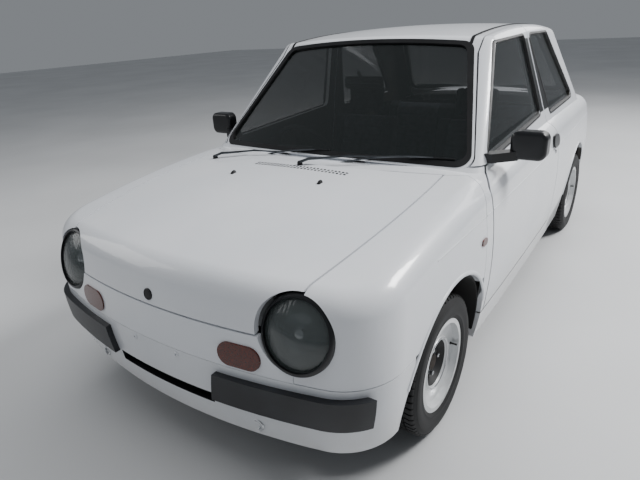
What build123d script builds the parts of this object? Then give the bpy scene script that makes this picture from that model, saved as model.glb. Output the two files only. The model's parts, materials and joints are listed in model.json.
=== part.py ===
from build123d import *
import math
import os

os.makedirs("parts", exist_ok=True)

# City car, two doors and a short boot. Millimetres. The car faces -Y, its left side is +X,
# +Z is up, and the origin lies on the ground under the middle of the car.

# Driving dimensions
wheelbase = 2300.0
front_axle_y = -1137.5
track = 1365.0
axle_z = 266.0
roof_z = 1410.0
skin_thin = 20.0  # bonnet, front wings and front bumper cover
skin_side = 70.0  # whole thickness of a door or a side wall below the belt
skin_end = 42.0  # tail wall
skin_top = 28.0  # decks and boot lid
skin_cabin = 38.0  # pillars, door frames and roof
shut_gap = 7.0  # between a moving panel and its neighbour
seam_gap = 3.0  # between two fixed panels that share a backing
fit_gap = 0.3  # between a seated piece and its seat
bay_clearance = 14.0  # under the bonnet

rear_axle_y = front_axle_y + wheelbase
half_track = track / 2
half_shut = shut_gap / 2
half_seam = seam_gap / 2

# Lower body in plan, one row per height: z, half width, reach to the front, reach to the rear
body_sections = [
    (195.0, 748.0, 1755.0, 1755.0),
    (420.0, 784.0, 1797.0, 1797.0),
    (660.0, 791.0, 1782.0, 1784.0),
    (1000.0, 722.0, 1690.0, 1700.0),
]
nose_sag = 122.0  # how far the nose bows back at its corners
tail_sag = 110.0
tail_taper = 40.0  # how much narrower the tail is than the nose, each side
corner_narrowing = 12.0
widest_y = -500.0
body_corner_radius = 205.0
shoulder_radius = 95.0
lower_margin = 40.0  # how far the inner forms run out below the sills

# Cabin in plan: z, front corner half width, its y, front centre y, rear half width, its y, centre y, radii
cabin_sections = [
    (860.0, 715.0, -728.0, -842.0, 690.0, 1440.0, 1510.0, 65.0, 120.0),
    (1420.0, 562.0, -188.0, -250.0, 543.0, 912.0, 955.0, 80.0, 110.0),
]
cabin_side_bow = 12.0
roof_edge_radius = 55.0
cabin_depth = 30.0  # how far the cabin's inside reaches down into the lower body

# Crowned upper surfaces: each is a line in the middle of the car, swept over a far centre
deck_crown = 7200.0
deck_crown_z = 900.0
bonnet_line = [(-1900.0, 752.0), (-1201.0, 876.0), (-800.0, 905.0)]
deck_end = (1900.0, 900.0)
roof_crown = 6200.0
roof_line = [(-900.0, 1270.0), (300.0, roof_z), (1400.0, 1300.0)]
crown_half_angle = 9.0

# Panel seams
nose_seam_z = 636.0
bumper_seam_z = 508.0
bumper_bottom_z = 250.0
front_panel_half = 540.0
bonnet_seam = [(551.0, -2000.0), (551.0, -1670.0), (604.0, -1201.0), (590.0, -800.0)]
bonnet_rear_bow = 118.0
cowl_bottom_z = 820.0
cowl_half = 590.0
pillar_top_z = 1290.0
pillar_depth = 120.0
roof_half = 536.5
boot_half = 575.0
boot_seam_z = 600.0
rear_panel_half = 700.0
sill_top_z = 318.0
bulkhead_face_y = -803.5
belt_z = 895.0  # where the door's front seam passes from the post to the windscreen's pillar
wing_seam = [(672.0, -757.0), (720.0, -790.0), (760.0, -822.0), (783.0, -848.0), (1000.0, -848.0)]
post_x = 690.0  # the door posts' inner side
door_front_gap = 9.0  # between a door post and the door that turns past it
pillar_strip = 10.0  # width of the fixed pillar between the screen and the door frame
front_arch_radius = 352.0
front_arch_y = front_axle_y - 12.0
rear_arch_radius = 345.0
liner_thickness = 10.0

# The door's rear seam, one row per corner: y, z, and x of the skin there
door_rear_seam = [(400.0, 150.0, 788.0), (400.0, 835.0, 788.0), (345.0, 945.0, 702.0), (240.0, 1450.0, 575.0)]
door_edge_slant = 0.2  # the rear edge leans forward towards the inside, so that it clears as it swings

# Windows: the screens lie in sloping planes, given by the heights of their lower and upper edges
windscreen_edge = (884.0, 1330.0)
windscreen_half = (668.0, 505.0)
rear_window_edge = (925.0, 1335.0)
rear_window_half = (575.0, 470.0)
windscreen_bow, rear_window_bow = 45.0, 20.0  # how much lower each screen reaches in the middle
window_corner_radius = 60.0
gasket_width = 24.0
gasket_proud = 3.0
glass_inset = 10.0
ditch_x, ditch_width, ditch_y = 493.0, 14.0, (-440.0, 900.0)
glass_thickness = 6.0
door_window = [(-630.0, 905.0), (-243.0, 1330.0), (186.0, 1340.0), (258.0, 950.0)]
quarter_window = [(470.0, 925.0), (290.0, 1340.0), (700.0, 1335.0), (1150.0, 930.0)]
side_window_radius = 28.0

# Lamps
lamp_x, lamp_y, lamp_z = 542.0, -1709.0, 653.0
lamp_tilt, lamp_turn = 17.4, 5.5  # how far the lamp leans back and is turned outwards, in degrees
lamp_ring_radius, lamp_lens_radius = 119.0, 106.0
lamp_depth = 115.0
lamp_proud = 10.0
lamp_reach = 300.0  # how far the lamp's clearance runs out to the front
lens_dome = 26.0
reflector_back = 5.0  # how far the reflector's rim lies behind the lens's
indicator_x, indicator_z, indicator_length, indicator_height = 364.0, 557.0, 150.0, 78.0
marker_y, marker_z, marker_length, marker_height = -879.0, 667.0, 52.0, 26.0
tail_lamp_x, tail_lamp_z, tail_lamp_length, tail_lamp_height = 520.0, 552.0, 250.0, 76.0
lamp_proud_small = 5.0

# Bumper pads, seen from the front
pad_bottom_z, pad_top_z = 372.0, 477.0
pad_inner_x = 250.0
pad_slant = 20.0
pad_proud = 20.0
pad_end_y = 1652.0
slot_half, slot_bottom_z, slot_top_z = 235.0, 338.0, 380.0
plate_spacing, plate_z, plate_hole_radius = 210.0, 480.0, 3.0

# Wheels
tyre_radius, tyre_width = axle_z, 155.0
rim_radius, seat_radius, rim_width = 178.0, 166.0, 134.0
rim_gauge = 6.0
wall_radius, tyre_shoulder, bead_gap = 228.0, 18.0, 8.0
wheel_window_radius = 92.0
hub_radius = 60.0
hub_bore_radius = 30.0
hub_face = 8.0  # from the wheel's middle plane out to the hub face
kingpin_inset = 22.0  # from the wheel's middle plane in to the steering axis
kingpin_x = half_track - kingpin_inset
kingpin_reach = 115.0

# Doors, bonnet and boot lid turn about these axes
door_hinge_x, door_hinge_y = 780.0, -745.0
door_nose_radius = 25.0  # the door's front seam runs round its hinge at this radius
pillar_foot_length, pillar_foot_angle = 115.0, 118.0  # from there along the pillar's foot, seen from above
pillar_foot_y = -596.0
door_hinge_heights = (480.0, 640.0)
door_hinge_half = 12.0
door_knuckle_radius = 6.0
door_lug = 45.0
bonnet_hinge_y, bonnet_hinge_z, bonnet_hinge_x = -790.0, 872.0, 540.0
boot_hinge_y, boot_hinge_z, boot_hinge_x = 1446.0, 854.0, 500.0
boot_edge_radius = 115.0  # the seam between deck and lid runs round the hinge at this radius
# Side view of a boot hinge's arm, y and z from its pin: it bends round the deck's edge
boot_arm = [(120, 22), (134, 22), (134, -48), (100, -98), (64, -120), (56, -114), (-4.4, -2.4), (4.4, 2.4),
            (64, -105), (88, -86), (120, -40)]
# Side view of a bonnet hinge's arm, y and z from its pin: it passes under the cowl's edge
bonnet_arm = [(5, 0), (5, -34), (-98, -34), (-98, -3), (-84, -3), (-84, -21), (-5, -21), (-5, 0)]
hinge_pin_radius = 4.0
hinge_arm = 10.0
hinge_eye_radius = 8.0
hinge_lug = 6.0

# Inside
floor_z, floor_thickness = 215.0, 20.0
rear_floor_z = 385.0
heel_y = 560.0
seat_bulkhead_y = 1000.0
tunnel_half, tunnel_height = 120.0, 115.0
sheet = 15.0
bulkhead_thickness = 25.0
rail_x, rail_half, rail_z = 400.0, 30.0, (300.0, 380.0)
apron_x = 452.0
nose_back_y = -1690.0
apron_thickness = 12.0
engine_half, engine_y, engine_z = 320.0, (-1400.0, -960.0), (250.0, 690.0)
shaft_radius, shaft_reach = 13.0, 632.0
arm_gauge, kingpin_radius = 14.0, 7.0
strut_x, strut_radius = 522.0, 22.0
strut_top_z = axle_z + front_arch_radius - liner_thickness - 2.5
brake_radius = 98.0
beam_radius, rear_arm_x, spring_radius = 28.0, 500.0, 45.0
exhaust_x, pipe_radius, silencer_radius = -70.0, 18.0, 58.0
pipe_low_z, pipe_high_z = 285.0, 332.0
silencer_y, silencer_z = 1530.0, 300.0
wheel_centre = (-340.0, -430.0, 800.0)
column_direction = (0, math.cos(math.radians(25)), math.sin(math.radians(25)))
steering_radius, steering_grip = 175.0, 13.0
column_radius, spindle_radius = 28.0, 9.0
seat_x, seat_half = 350.0, 225.0
mirror_x, mirror_y, mirror_z = (765.0, 905.0), (-562.0, -505.0), (902.0, 1016.0)
mirror_arm = [(690, -636), (690, -590), (770, -512), (800, -512), (800, -556), (722, -636)]
mirror_arm_z = (899.0, 936.0)
handle_y, handle_z, handle_length, handle_height = 327.0, 800.0, 130.0, 62.0


def plan_outline(row, side, end):
    """One horizontal section of the lower body, taken in by side and end."""
    z, half, front, rear = row
    half_front = half - corner_narrowing - side
    half_rear = half_front - tail_taper
    y_front, y_rear = -front + end, rear - end
    with BuildSketch(Plane.XY.offset(z)) as section:
        with BuildLine():
            nose = ThreePointArc((-half_front, y_front + nose_sag), (0, y_front), (half_front, y_front + nose_sag))
            left = ThreePointArc(nose @ 1, (half - side, widest_y), (half_rear, y_rear - tail_sag))
            tail = ThreePointArc(left @ 1, (0, y_rear), (-half_rear, y_rear - tail_sag))
            ThreePointArc(tail @ 1, (side - half, widest_y), nose @ 0)
        make_face()
        fillet(section.vertices(), body_corner_radius - end)
    return section.sketch


def cabin_outline(row, inset):
    """One horizontal section of the cabin above the belt, taken in by inset."""
    z, half_f, y_f, y_fc, half_r, y_r, y_rc, r_f, r_r = row
    middle_x = (half_f + half_r) / 2 + cabin_side_bow - inset
    middle_y = (y_f + y_r) / 2
    with BuildSketch(Plane.XY.offset(z)) as section:
        with BuildLine():
            front = ThreePointArc((inset - half_f, y_f + inset), (0, y_fc + inset), (half_f - inset, y_f + inset))
            left = ThreePointArc(front @ 1, (middle_x, middle_y), (half_r - inset, y_r - inset))
            rear = ThreePointArc(left @ 1, (0, y_rc - inset), (inset - half_r, y_r - inset))
            ThreePointArc(rear @ 1, (-middle_x, middle_y), front @ 0)
        make_face()
        fillet(section.vertices().group_by(Axis.Y)[0], r_f - inset)
        fillet(section.vertices().group_by(Axis.Y)[-1], r_r - inset)
    return section.sketch


def crowned_solid(line, end, crown_radius, crown_z, lowered):
    """Everything under a line in the middle of the car, swept sideways over a far centre."""
    axis_z = crown_z - crown_radius
    tilt = math.radians(crown_half_angle)
    start = Plane(origin=(0, 0, axis_z), x_dir=(0, 1, 0), z_dir=(math.cos(tilt), 0, math.sin(tilt)))
    points = [(y, z - lowered - axis_z) for y, z in line]
    with BuildPart() as solid:
        with BuildSketch(start):
            with BuildLine():
                top = ThreePointArc(*points)
                last = top @ 1
                if end:
                    last = TangentArc([top @ 1, (end[0], end[1] - lowered - axis_z)], tangent=top % 1) @ 1
                Polyline([last, (last.X, -axis_z), (points[0][0], -axis_z), points[0]])
            make_face()
        revolve(axis=Axis((0, 0, axis_z), (0, 1, 0)), revolution_arc=2 * crown_half_angle)
    return solid.part


def rim_edges(part, up):
    """The outline of the upward faces, without the edges that two of them share."""
    faces = [f for f in part.faces() if f.normal_at().Z > up]
    edges = [e for f in faces for e in f.edges()]
    return ShapeList([e for e in edges if sum(1 for other in edges if other.is_same(e)) == 1])


def lower_body(side=0.0, end=0.0, top=0.0, bottom=0.0):
    """The body below the belt as one solid, its walls taken in by side, end and top."""
    with BuildPart() as solid:
        for row in body_sections:
            z = row[0] - bottom if row is body_sections[0] else row[0]
            add(plan_outline((z, *row[1:]), side, end))
        loft()
        add(crowned_solid(bonnet_line, deck_end, deck_crown, deck_crown_z, top), mode=Mode.INTERSECT)
        fillet(rim_edges(solid.part, 0.8), shoulder_radius - max(top, 0))
    return solid.part


def cabin(inset=0.0, top=0.0, deeper=0.0):
    """The cabin above the belt as one solid, its walls taken in by inset and its roof by top."""
    low, high = cabin_sections
    share = deeper / (high[0] - low[0])
    grown = [a - (b - a) * share for a, b in zip(low[:7], high[:7])] + list(low[7:])
    with BuildPart() as solid:
        add(cabin_outline(grown, inset))
        add(cabin_outline(high, inset))
        loft(ruled=True)
        add(crowned_solid(roof_line, None, roof_crown, roof_z, top), mode=Mode.INTERSECT)
        fillet(rim_edges(solid.part, 0.9), roof_edge_radius - min(top, 30))
    return solid.part


def block(x, y, z):
    """A box between three pairs of limits."""
    with BuildPart() as solid:
        with Locations(((x[0] + x[1]) / 2, (y[0] + y[1]) / 2, (z[0] + z[1]) / 2)):
            Box(x[1] - x[0], y[1] - y[0], z[1] - z[0])
    return solid.part


def bar(axis, radius, centre, length):
    """A round bar about a line parallel to an axis."""
    turn = {"X": (0, 90, 0), "Y": (90, 0, 0), "Z": (0, 0, 0)}[axis]
    with BuildPart() as solid:
        with Locations(Location(centre, turn)):
            Cylinder(radius, length)
    return solid.part


def side_view(points, x, radius=0.0):
    """A side view outline, points of y and z, pushed through the car between two x."""
    with BuildPart() as solid:
        with BuildSketch(Plane.YZ.offset(x[0])) as sketch:
            with BuildLine():
                Polyline(points, close=True)
            make_face()
            if radius:
                fillet(sketch.vertices(), radius)
        extrude(amount=x[1] - x[0])
    return solid.part


def plan_view(points, z):
    """A plan outline, points of x and y, pushed up between two heights."""
    with BuildPart() as solid:
        with BuildSketch(Plane.XY.offset(z[0])):
            with BuildLine():
                Polyline(points, close=True)
            make_face()
        extrude(amount=z[1] - z[0])
    return solid.part


def front_slot(x, z, length, height, y):
    """A long round-ended shape seen from the front, pushed between two y."""
    with BuildPart() as solid:
        with BuildSketch(Plane.XZ.offset(-y[1])):
            with Locations((x, z)):
                SlotOverall(length, height)
        extrude(amount=y[1] - y[0])
    return solid.part


def sided(part, side):
    """The piece itself on the car's left, or its mirror image on the right."""
    return part if side > 0 else part.mirror(Plane.YZ)


def bonnet_zone(grow):
    """What the bonnet covers, seen from above, from its front seam upwards."""
    left = [(x + grow, y) for x, y in bonnet_seam[:-1]]
    left.append((bonnet_seam[-1][0] + grow, bonnet_seam[-1][1] + grow))
    right = [(-x, y) for x, y in left]
    rear_y = left[-1][1]
    with BuildPart() as zone:
        with BuildSketch(Plane.XY.offset(nose_seam_z - grow)):
            with BuildLine():
                for edge in (left, right):
                    Line(edge[0], edge[1])
                    ThreePointArc(*edge[1:])
                Line(left[0], right[0])
                ThreePointArc(left[-1], (0, rear_y - bonnet_rear_bow), right[-1])
            make_face()
        extrude(amount=400)
    return zone.part


def behind_wing(shift):
    """Everything behind the left wing's rear seam, from the cowl's side out, moved back by shift."""
    line = [(cowl_half, bulkhead_face_y), *wing_seam]
    return plan_view([(x, y + shift) for x, y in line] + [(1000, 1000), (cowl_half, 1000)], (0, 1000))


def door_side(grow):
    """Everything on the door's side of its front seam, seen from above, up to the belt."""
    radius = door_nose_radius + grow
    turn = math.radians(pillar_foot_angle)
    along = (math.cos(turn), math.sin(turn))
    start = (door_hinge_x - radius * along[1], door_hinge_y + radius * along[0])
    foot = (start[0] + pillar_foot_length * along[0], start[1] + pillar_foot_length * along[1])
    end_y = pillar_foot_y - grow
    with BuildPart() as zone:
        with BuildSketch():
            with BuildLine():
                Polyline((door_hinge_x, door_hinge_y), start, foot, (foot[0], end_y), (0, end_y), (0, 1000),
                         (1000, 1000), (1000, door_hinge_y - radius), (door_hinge_x, door_hinge_y - radius),
                         close=True)
            make_face()
            with Locations((door_hinge_x, door_hinge_y)):
                Circle(radius)
        extrude(amount=1000)
    return zone.part


def lid_side(grow):
    """Everything behind the seam between the rear deck and the boot lid."""
    with BuildPart() as zone:
        add(block((-1000, 1000), (boot_hinge_y, 2000), (0, 1000)))
        add(bar("X", boot_edge_radius - grow, (0, boot_hinge_y, boot_hinge_z), 2000), mode=Mode.SUBTRACT)
    return zone.part


def hinge_plate(outline, x, y, z):
    """A hinge arm with its eye, from its side view about the pin at y and z."""
    with BuildPart() as plate:
        add(side_view([(y + along, z + up) for along, up in outline], (x - hinge_arm / 2, x + hinge_arm / 2)))
        add(bar("X", hinge_eye_radius, (x, y, z), hinge_arm))
        add(bar("X", hinge_pin_radius + fit_gap, (x, y, z), 4 * hinge_arm), mode=Mode.SUBTRACT)
    return plate.part


def behind_door(shift):
    """Everything behind the door's rear seam on the left side, moved back by shift."""
    start_x = 400.0
    line = [(y + shift - door_edge_slant * (skin_x - start_x), z) for y, z, skin_x in door_rear_seam]
    with BuildPart() as zone:
        with BuildSketch(Plane.YZ.offset(start_x)):
            with BuildLine():
                Polyline([*line, (2500, line[-1][1]), (2500, line[0][1])], close=True)
            make_face()
        extrude(amount=600, dir=(1, door_edge_slant, 0))
    return zone.part


def screen_zone(edge, half, sections_y, bow, inset):
    """A screen's outline in its own sloping plane, pushed through the cabin's wall."""
    low, high = cabin_sections
    slope = (sections_y[1] - sections_y[0]) / (high[0] - low[0])
    y_low = sections_y[0] + slope * (edge[0] - low[0])
    rise = edge[1] - edge[0]
    length = math.hypot(rise, slope * rise)
    plane = Plane(origin=(0, y_low, edge[0]), x_dir=(1, 0, 0), z_dir=(0, -rise, slope * rise))
    foot, head = inset, length - inset
    with BuildPart() as zone:
        with BuildSketch(plane) as sketch:
            with BuildLine():
                sill = ThreePointArc((inset - half[0], foot), (0, foot - bow), (half[0] - inset, foot))
                Polyline(sill @ 1, (half[1] - inset, head), (inset - half[1], head), sill @ 0)
            make_face()
            fillet(sketch.vertices(), window_corner_radius - inset / 2)
        extrude(amount=260, both=True)
    return zone.part


def windscreen_zone(inset=0.0):
    """The windscreen's opening, or its glass when taken in."""
    corner_y = (cabin_sections[0][2], cabin_sections[1][2])
    return screen_zone(windscreen_edge, windscreen_half, corner_y, windscreen_bow, inset)


def rear_window_zone(inset=0.0):
    """The rear window's opening, or its glass when taken in."""
    corner_y = (cabin_sections[0][5], cabin_sections[1][5])
    return screen_zone(rear_window_edge, rear_window_half, corner_y, rear_window_bow, inset)


def pillar_line(z):
    """A point (y, z) on the cabin's front corner, well behind which the windscreen's pillar ends."""
    low, high = cabin_sections
    share = (z - low[0]) / (high[0] - low[0])
    return (low[2] + (high[2] - low[2]) * share + pillar_depth, z)


def lamp_place(side, back=0.0):
    """Where a headlamp sits, its own -Y axis pointing out of the lens."""
    return Location((side * lamp_x, lamp_y, lamp_z), (-lamp_tilt, 0, side * lamp_turn)) * Location((0, back, 0))


def lamp_barrel(gap, side):
    """The room that a headlamp takes, with a gap round it."""
    length = lamp_reach + lamp_depth + gap
    return bar("Y", lamp_ring_radius + gap, (0, length / 2 - lamp_reach, 0), length).moved(lamp_place(side))


# Forms that the panels are cut from
outer_body = lower_body()
thin_space = lower_body(skin_thin, skin_thin, skin_thin, lower_margin)
room = lower_body(skin_side, skin_end, skin_top, lower_margin)
outer_cabin = cabin()
cabin_room = cabin(skin_cabin, skin_cabin, cabin_depth)

with BuildPart() as thin_skin:
    add(outer_body)
    add(thin_space, mode=Mode.SUBTRACT)

with BuildPart() as wall_skin:
    add(outer_body)
    add(outer_cabin)
    add(room, mode=Mode.SUBTRACT)
    add(cabin_room, mode=Mode.SUBTRACT)

windscreen_hole = windscreen_zone()
rear_window_hole = rear_window_zone()
front_arches = bar("X", front_arch_radius, (0, front_arch_y, axle_z), 2000)
rear_arches = bar("X", rear_arch_radius, (0, rear_axle_y, axle_z), 2000)
lamp_barrels = [lamp_barrel(fit_gap, side) for side in (-1, 1)]
lamp_clearances = [lamp_barrel(shut_gap, side) for side in (-1, 1)]

# Bonnet: wraps from the cowl down over the nose, round the lamps
with BuildPart() as bonnet:
    add(thin_skin.part)
    add(bonnet_zone(-half_shut), mode=Mode.INTERSECT)
    for clearance in lamp_clearances:
        add(clearance, mode=Mode.SUBTRACT)
    for side in (-1, 1):
        add(hinge_plate(bonnet_arm, side * bonnet_hinge_x, bonnet_hinge_y, bonnet_hinge_z))
bonnet.part.label = "bonnet"
export_step(bonnet.part, "parts/bonnet.step")

# Cowl, door posts and windscreen pillars in one frame
with BuildPart() as frame_zone:
    add(block((cowl_half, 1000), (bulkhead_face_y, -500), (cowl_bottom_z, belt_z)))
    add(block((post_x, 1000), (bulkhead_face_y, -500), (sill_top_z + half_shut, belt_z)))
    add(behind_wing(half_seam), mode=Mode.INTERSECT)
    add(door_side(door_front_gap - half_shut), mode=Mode.SUBTRACT)
    add(block((0, cowl_half + 1), (-1000, -500), (cowl_bottom_z, belt_z)))
    mirror(about=Plane.YZ)
    pillar_low_z = belt_z - half_shut
    add(side_view([(-1000, pillar_low_z), pillar_line(pillar_low_z), pillar_line(pillar_top_z), (-1000, pillar_top_z)],
                  (-800, 800)))

with BuildPart() as post_skin:
    add(block((post_x, 1000), (-1000, bulkhead_face_y), (sill_top_z + half_shut, belt_z)))
    add(behind_wing(half_seam), mode=Mode.INTERSECT)
    mirror(about=Plane.YZ)
    add(thin_skin.part, mode=Mode.INTERSECT)

with BuildPart() as door_front_limit:
    add(block((-1000, 1000), (-1000, 1000), (belt_z - half_shut, 1600)))
    add(windscreen_zone(-pillar_strip), mode=Mode.SUBTRACT)

hinge_slots = []
with BuildPart() as windscreen_frame:
    add(wall_skin.part)
    add(frame_zone.part, mode=Mode.INTERSECT)
    add(post_skin.part)
    add(door_front_limit.part, mode=Mode.SUBTRACT)
    add(bonnet_zone(half_shut), mode=Mode.SUBTRACT)
    add(windscreen_hole, mode=Mode.SUBTRACT)
    add(front_arches, mode=Mode.SUBTRACT)
    for side in (-1, 1):
        slot_x = (side * bonnet_hinge_x - hinge_arm, side * bonnet_hinge_x + hinge_arm)
        slot_z = (cowl_bottom_z, bonnet_hinge_z + hinge_pin_radius + 5)
        hinge_slots.append(block(slot_x, (bulkhead_face_y - 50, bonnet_hinge_y + 14), slot_z))
        add(hinge_slots[-1], mode=Mode.SUBTRACT)
        add(bar("X", hinge_pin_radius, (side * bonnet_hinge_x, bonnet_hinge_y, bonnet_hinge_z), hinge_arm * 2.5))
        for z in door_hinge_heights:
            add(block(sorted((side * (door_hinge_x - door_lug), side * door_hinge_x)),
                      (door_hinge_y - hinge_arm / 2, door_hinge_y + hinge_arm / 2),
                      (z - door_hinge_half, z + door_hinge_half)))
            add(bar("Z", door_knuckle_radius, (side * door_hinge_x, door_hinge_y, z), 2 * door_hinge_half))
windscreen_frame.part.label = "windscreen_frame"
export_step(windscreen_frame.part, "parts/windscreen_frame.step")

# Roof, between the door frames, with a ditch along each side
with BuildPart() as roof:
    add(wall_skin.part)
    add(block((half_shut - roof_half, roof_half - half_shut), (-1000, 1700), (pillar_top_z, 1600)),
        mode=Mode.INTERSECT)
    add(windscreen_hole, mode=Mode.SUBTRACT)
    add(rear_window_hole, mode=Mode.SUBTRACT)
roof.part.label = "roof"
export_step(roof.part, "parts/roof.step")

# Doors: one wall each, with its window frame round the pillar and up to the roof
with BuildPart() as post_side:
    add(block((0, 1000), (-1000, 1000), (0, belt_z + half_shut)))
    add(door_side(-half_shut), mode=Mode.SUBTRACT)

with BuildPart() as door_zone:
    add(block((500, 1000), (-800, 900), (sill_top_z + half_shut, 1500)))
    add(block((0, roof_half + half_shut), (-1000, 1000), (1000, 1600)), mode=Mode.SUBTRACT)
    add(post_side.part, mode=Mode.SUBTRACT)
    add(windscreen_zone(-pillar_strip - shut_gap), mode=Mode.SUBTRACT)
    add(behind_door(-half_shut), mode=Mode.SUBTRACT)

with BuildPart() as hinge_pocket:
    for z in door_hinge_heights:
        with BuildSketch(Plane.XY.offset(z - door_hinge_half - fit_gap)):
            with BuildLine():
                Polyline(
                    (door_hinge_x - 110, door_hinge_y + 8),
                    (door_hinge_x, door_hinge_y + 8),
                    (door_hinge_x + 6, door_hinge_y - 4),
                    (door_hinge_x - 15, door_hinge_y - 50),
                    (door_hinge_x - 110, door_hinge_y - 50),
                    close=True,
                )
            make_face()
            with Locations((door_hinge_x, door_hinge_y)):
                Circle(door_knuckle_radius + fit_gap)
        extrude(amount=2 * (door_hinge_half + fit_gap))

with BuildPart() as door_left:
    add(wall_skin.part)
    add(door_zone.part, mode=Mode.INTERSECT)
    add(side_view(door_window, (300, 1000), side_window_radius), mode=Mode.SUBTRACT)
    add(front_arches, mode=Mode.SUBTRACT)
    add(hinge_pocket.part, mode=Mode.SUBTRACT)

with BuildPart() as glass_layer:
    add(cabin(glass_inset))
    add(cabin(glass_inset + glass_thickness), mode=Mode.SUBTRACT)

with BuildPart() as door_glass_left:
    add(glass_layer.part)
    add(side_view(door_window, (roof_half + half_shut, 1000), side_window_radius), mode=Mode.INTERSECT)
    add(windscreen_zone(-pillar_strip - shut_gap), mode=Mode.SUBTRACT)

for side, word in ((1, "left"), (-1, "right")):
    door = sided(door_left.part, side)
    door.label = f"door_{word}"
    export_step(door, f"parts/door_{word}.step")
    door_glass = sided(door_glass_left.part, side)
    door_glass.label = f"door_glass_{word}"
    export_step(door_glass, f"parts/door_glass_{word}.step")

# Body sides behind the doors, with the sills below them
with BuildPart() as side_zone:
    add(behind_door(half_shut))
    add(block((400, 1000), (bulkhead_face_y + seam_gap, 700), (0, sill_top_z - half_shut)))
    add(block((0, roof_half), (-1000, 1700), (pillar_top_z, 1600)), mode=Mode.SUBTRACT)
    add(block((0, boot_half + half_shut), (1300, 2000), (boot_seam_z - half_shut, 940)), mode=Mode.SUBTRACT)
    add(block((0, rear_panel_half), (1500, 2000), (0, boot_seam_z)), mode=Mode.SUBTRACT)
    add(block((0, 1000), (rear_axle_y + rear_arch_radius - 40, 2000), (0, bumper_seam_z)), mode=Mode.SUBTRACT)

with BuildPart() as side_left:
    add(wall_skin.part)
    add(side_zone.part, mode=Mode.INTERSECT)
    add(rear_arches, mode=Mode.SUBTRACT)
    add(front_arches, mode=Mode.SUBTRACT)
    add(side_view(quarter_window, (300, 1000), side_window_radius), mode=Mode.SUBTRACT)
    add(rear_window_hole, mode=Mode.SUBTRACT)

for side, word in ((1, "left"), (-1, "right")):
    body_side = sided(side_left.part, side)
    body_side.label = f"side_{word}"
    export_step(body_side, f"parts/side_{word}.step")

# Front wings
with BuildPart() as wing_zone:
    add(block((0, 1000), (-2000, -700), (bumper_seam_z + half_seam, 1000)))
    add(behind_wing(-half_seam), mode=Mode.SUBTRACT)
    add(bonnet_zone(half_shut), mode=Mode.SUBTRACT)
    add(block((0, cowl_half + half_shut), (-1000, -700), (700, 1000)), mode=Mode.SUBTRACT)
    add(block((0, front_panel_half + half_seam), (-2000, -1500), (0, nose_seam_z + half_shut)), mode=Mode.SUBTRACT)

with BuildPart() as wing_left:
    add(thin_skin.part)
    add(wing_zone.part, mode=Mode.INTERSECT)
    add(front_arches, mode=Mode.SUBTRACT)
    for barrel in lamp_barrels:
        add(barrel, mode=Mode.SUBTRACT)

for side, word in ((1, "left"), (-1, "right")):
    wing = sided(wing_left.part, side)
    wing.label = f"wing_{word}"
    export_step(wing, f"parts/wing_{word}.step")

# Front panel under the bonnet, with the lamp and indicator openings
indicator_holes = [front_slot(side * indicator_x, indicator_z, indicator_length + 2 * fit_gap,
                              indicator_height + 2 * fit_gap, (-2000, -1500)) for side in (-1, 1)]
with BuildPart() as front_panel:
    add(thin_skin.part)
    add(block((-front_panel_half, front_panel_half), (-2000, -1500), (bumper_seam_z, nose_seam_z - half_shut)),
        mode=Mode.INTERSECT)
    for hole in lamp_barrels + indicator_holes:
        add(hole, mode=Mode.SUBTRACT)
front_panel.part.label = "front_panel"
export_step(front_panel.part, "parts/front_panel.step")

# Front bumper cover, from arch to arch, with the air slot between the pads
with BuildPart() as front_bumper:
    add(thin_skin.part)
    add(block((-1000, 1000), (-2000, -1450), (bumper_bottom_z, bumper_seam_z - half_seam)), mode=Mode.INTERSECT)
    add(front_arches, mode=Mode.SUBTRACT)
    add(block((-slot_half, slot_half), (-2000, -1650), (slot_bottom_z, slot_top_z)), mode=Mode.SUBTRACT)
    for side in (-1, 1):
        add(bar("Y", plate_hole_radius, (side * plate_spacing / 2, -1750, plate_z), 200), mode=Mode.SUBTRACT)
front_bumper.part.label = "front_bumper"
export_step(front_bumper.part, "parts/front_bumper.step")

# Rear deck between the rear window and the boot lid
with BuildPart() as rear_deck:
    add(wall_skin.part)
    add(block((-boot_half, boot_half), (1380, boot_hinge_y + boot_edge_radius), (840, 940)), mode=Mode.INTERSECT)
    add(lid_side(half_shut), mode=Mode.SUBTRACT)
    add(rear_window_hole, mode=Mode.SUBTRACT)
    for side in (-1, 1):
        add(bar("X", hinge_pin_radius, (side * boot_hinge_x, boot_hinge_y, boot_hinge_z), hinge_arm * 2.5))
        for step in (-1, 1):
            lug_x = side * boot_hinge_x + step * (hinge_arm / 2 + 2 + hinge_lug / 2)
            add(block((lug_x - hinge_lug / 2, lug_x + hinge_lug / 2), (boot_hinge_y - 8, boot_hinge_y + 8),
                      (boot_hinge_z - 8, 875)))
rear_deck.part.label = "rear_deck"
export_step(rear_deck.part, "parts/rear_deck.step")

# Boot lid: flat on top and down the tail
with BuildPart() as boot_lid:
    add(wall_skin.part)
    add(block((half_shut - boot_half, boot_half - half_shut), (boot_hinge_y, 2000), (boot_seam_z + half_shut, 940)),
        mode=Mode.INTERSECT)
    add(lid_side(-half_shut), mode=Mode.INTERSECT)
    for side in (-1, 1):
        add(hinge_plate(boot_arm, side * boot_hinge_x, boot_hinge_y, boot_hinge_z))
boot_lid.part.label = "boot_lid"
export_step(boot_lid.part, "parts/boot_lid.step")

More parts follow.
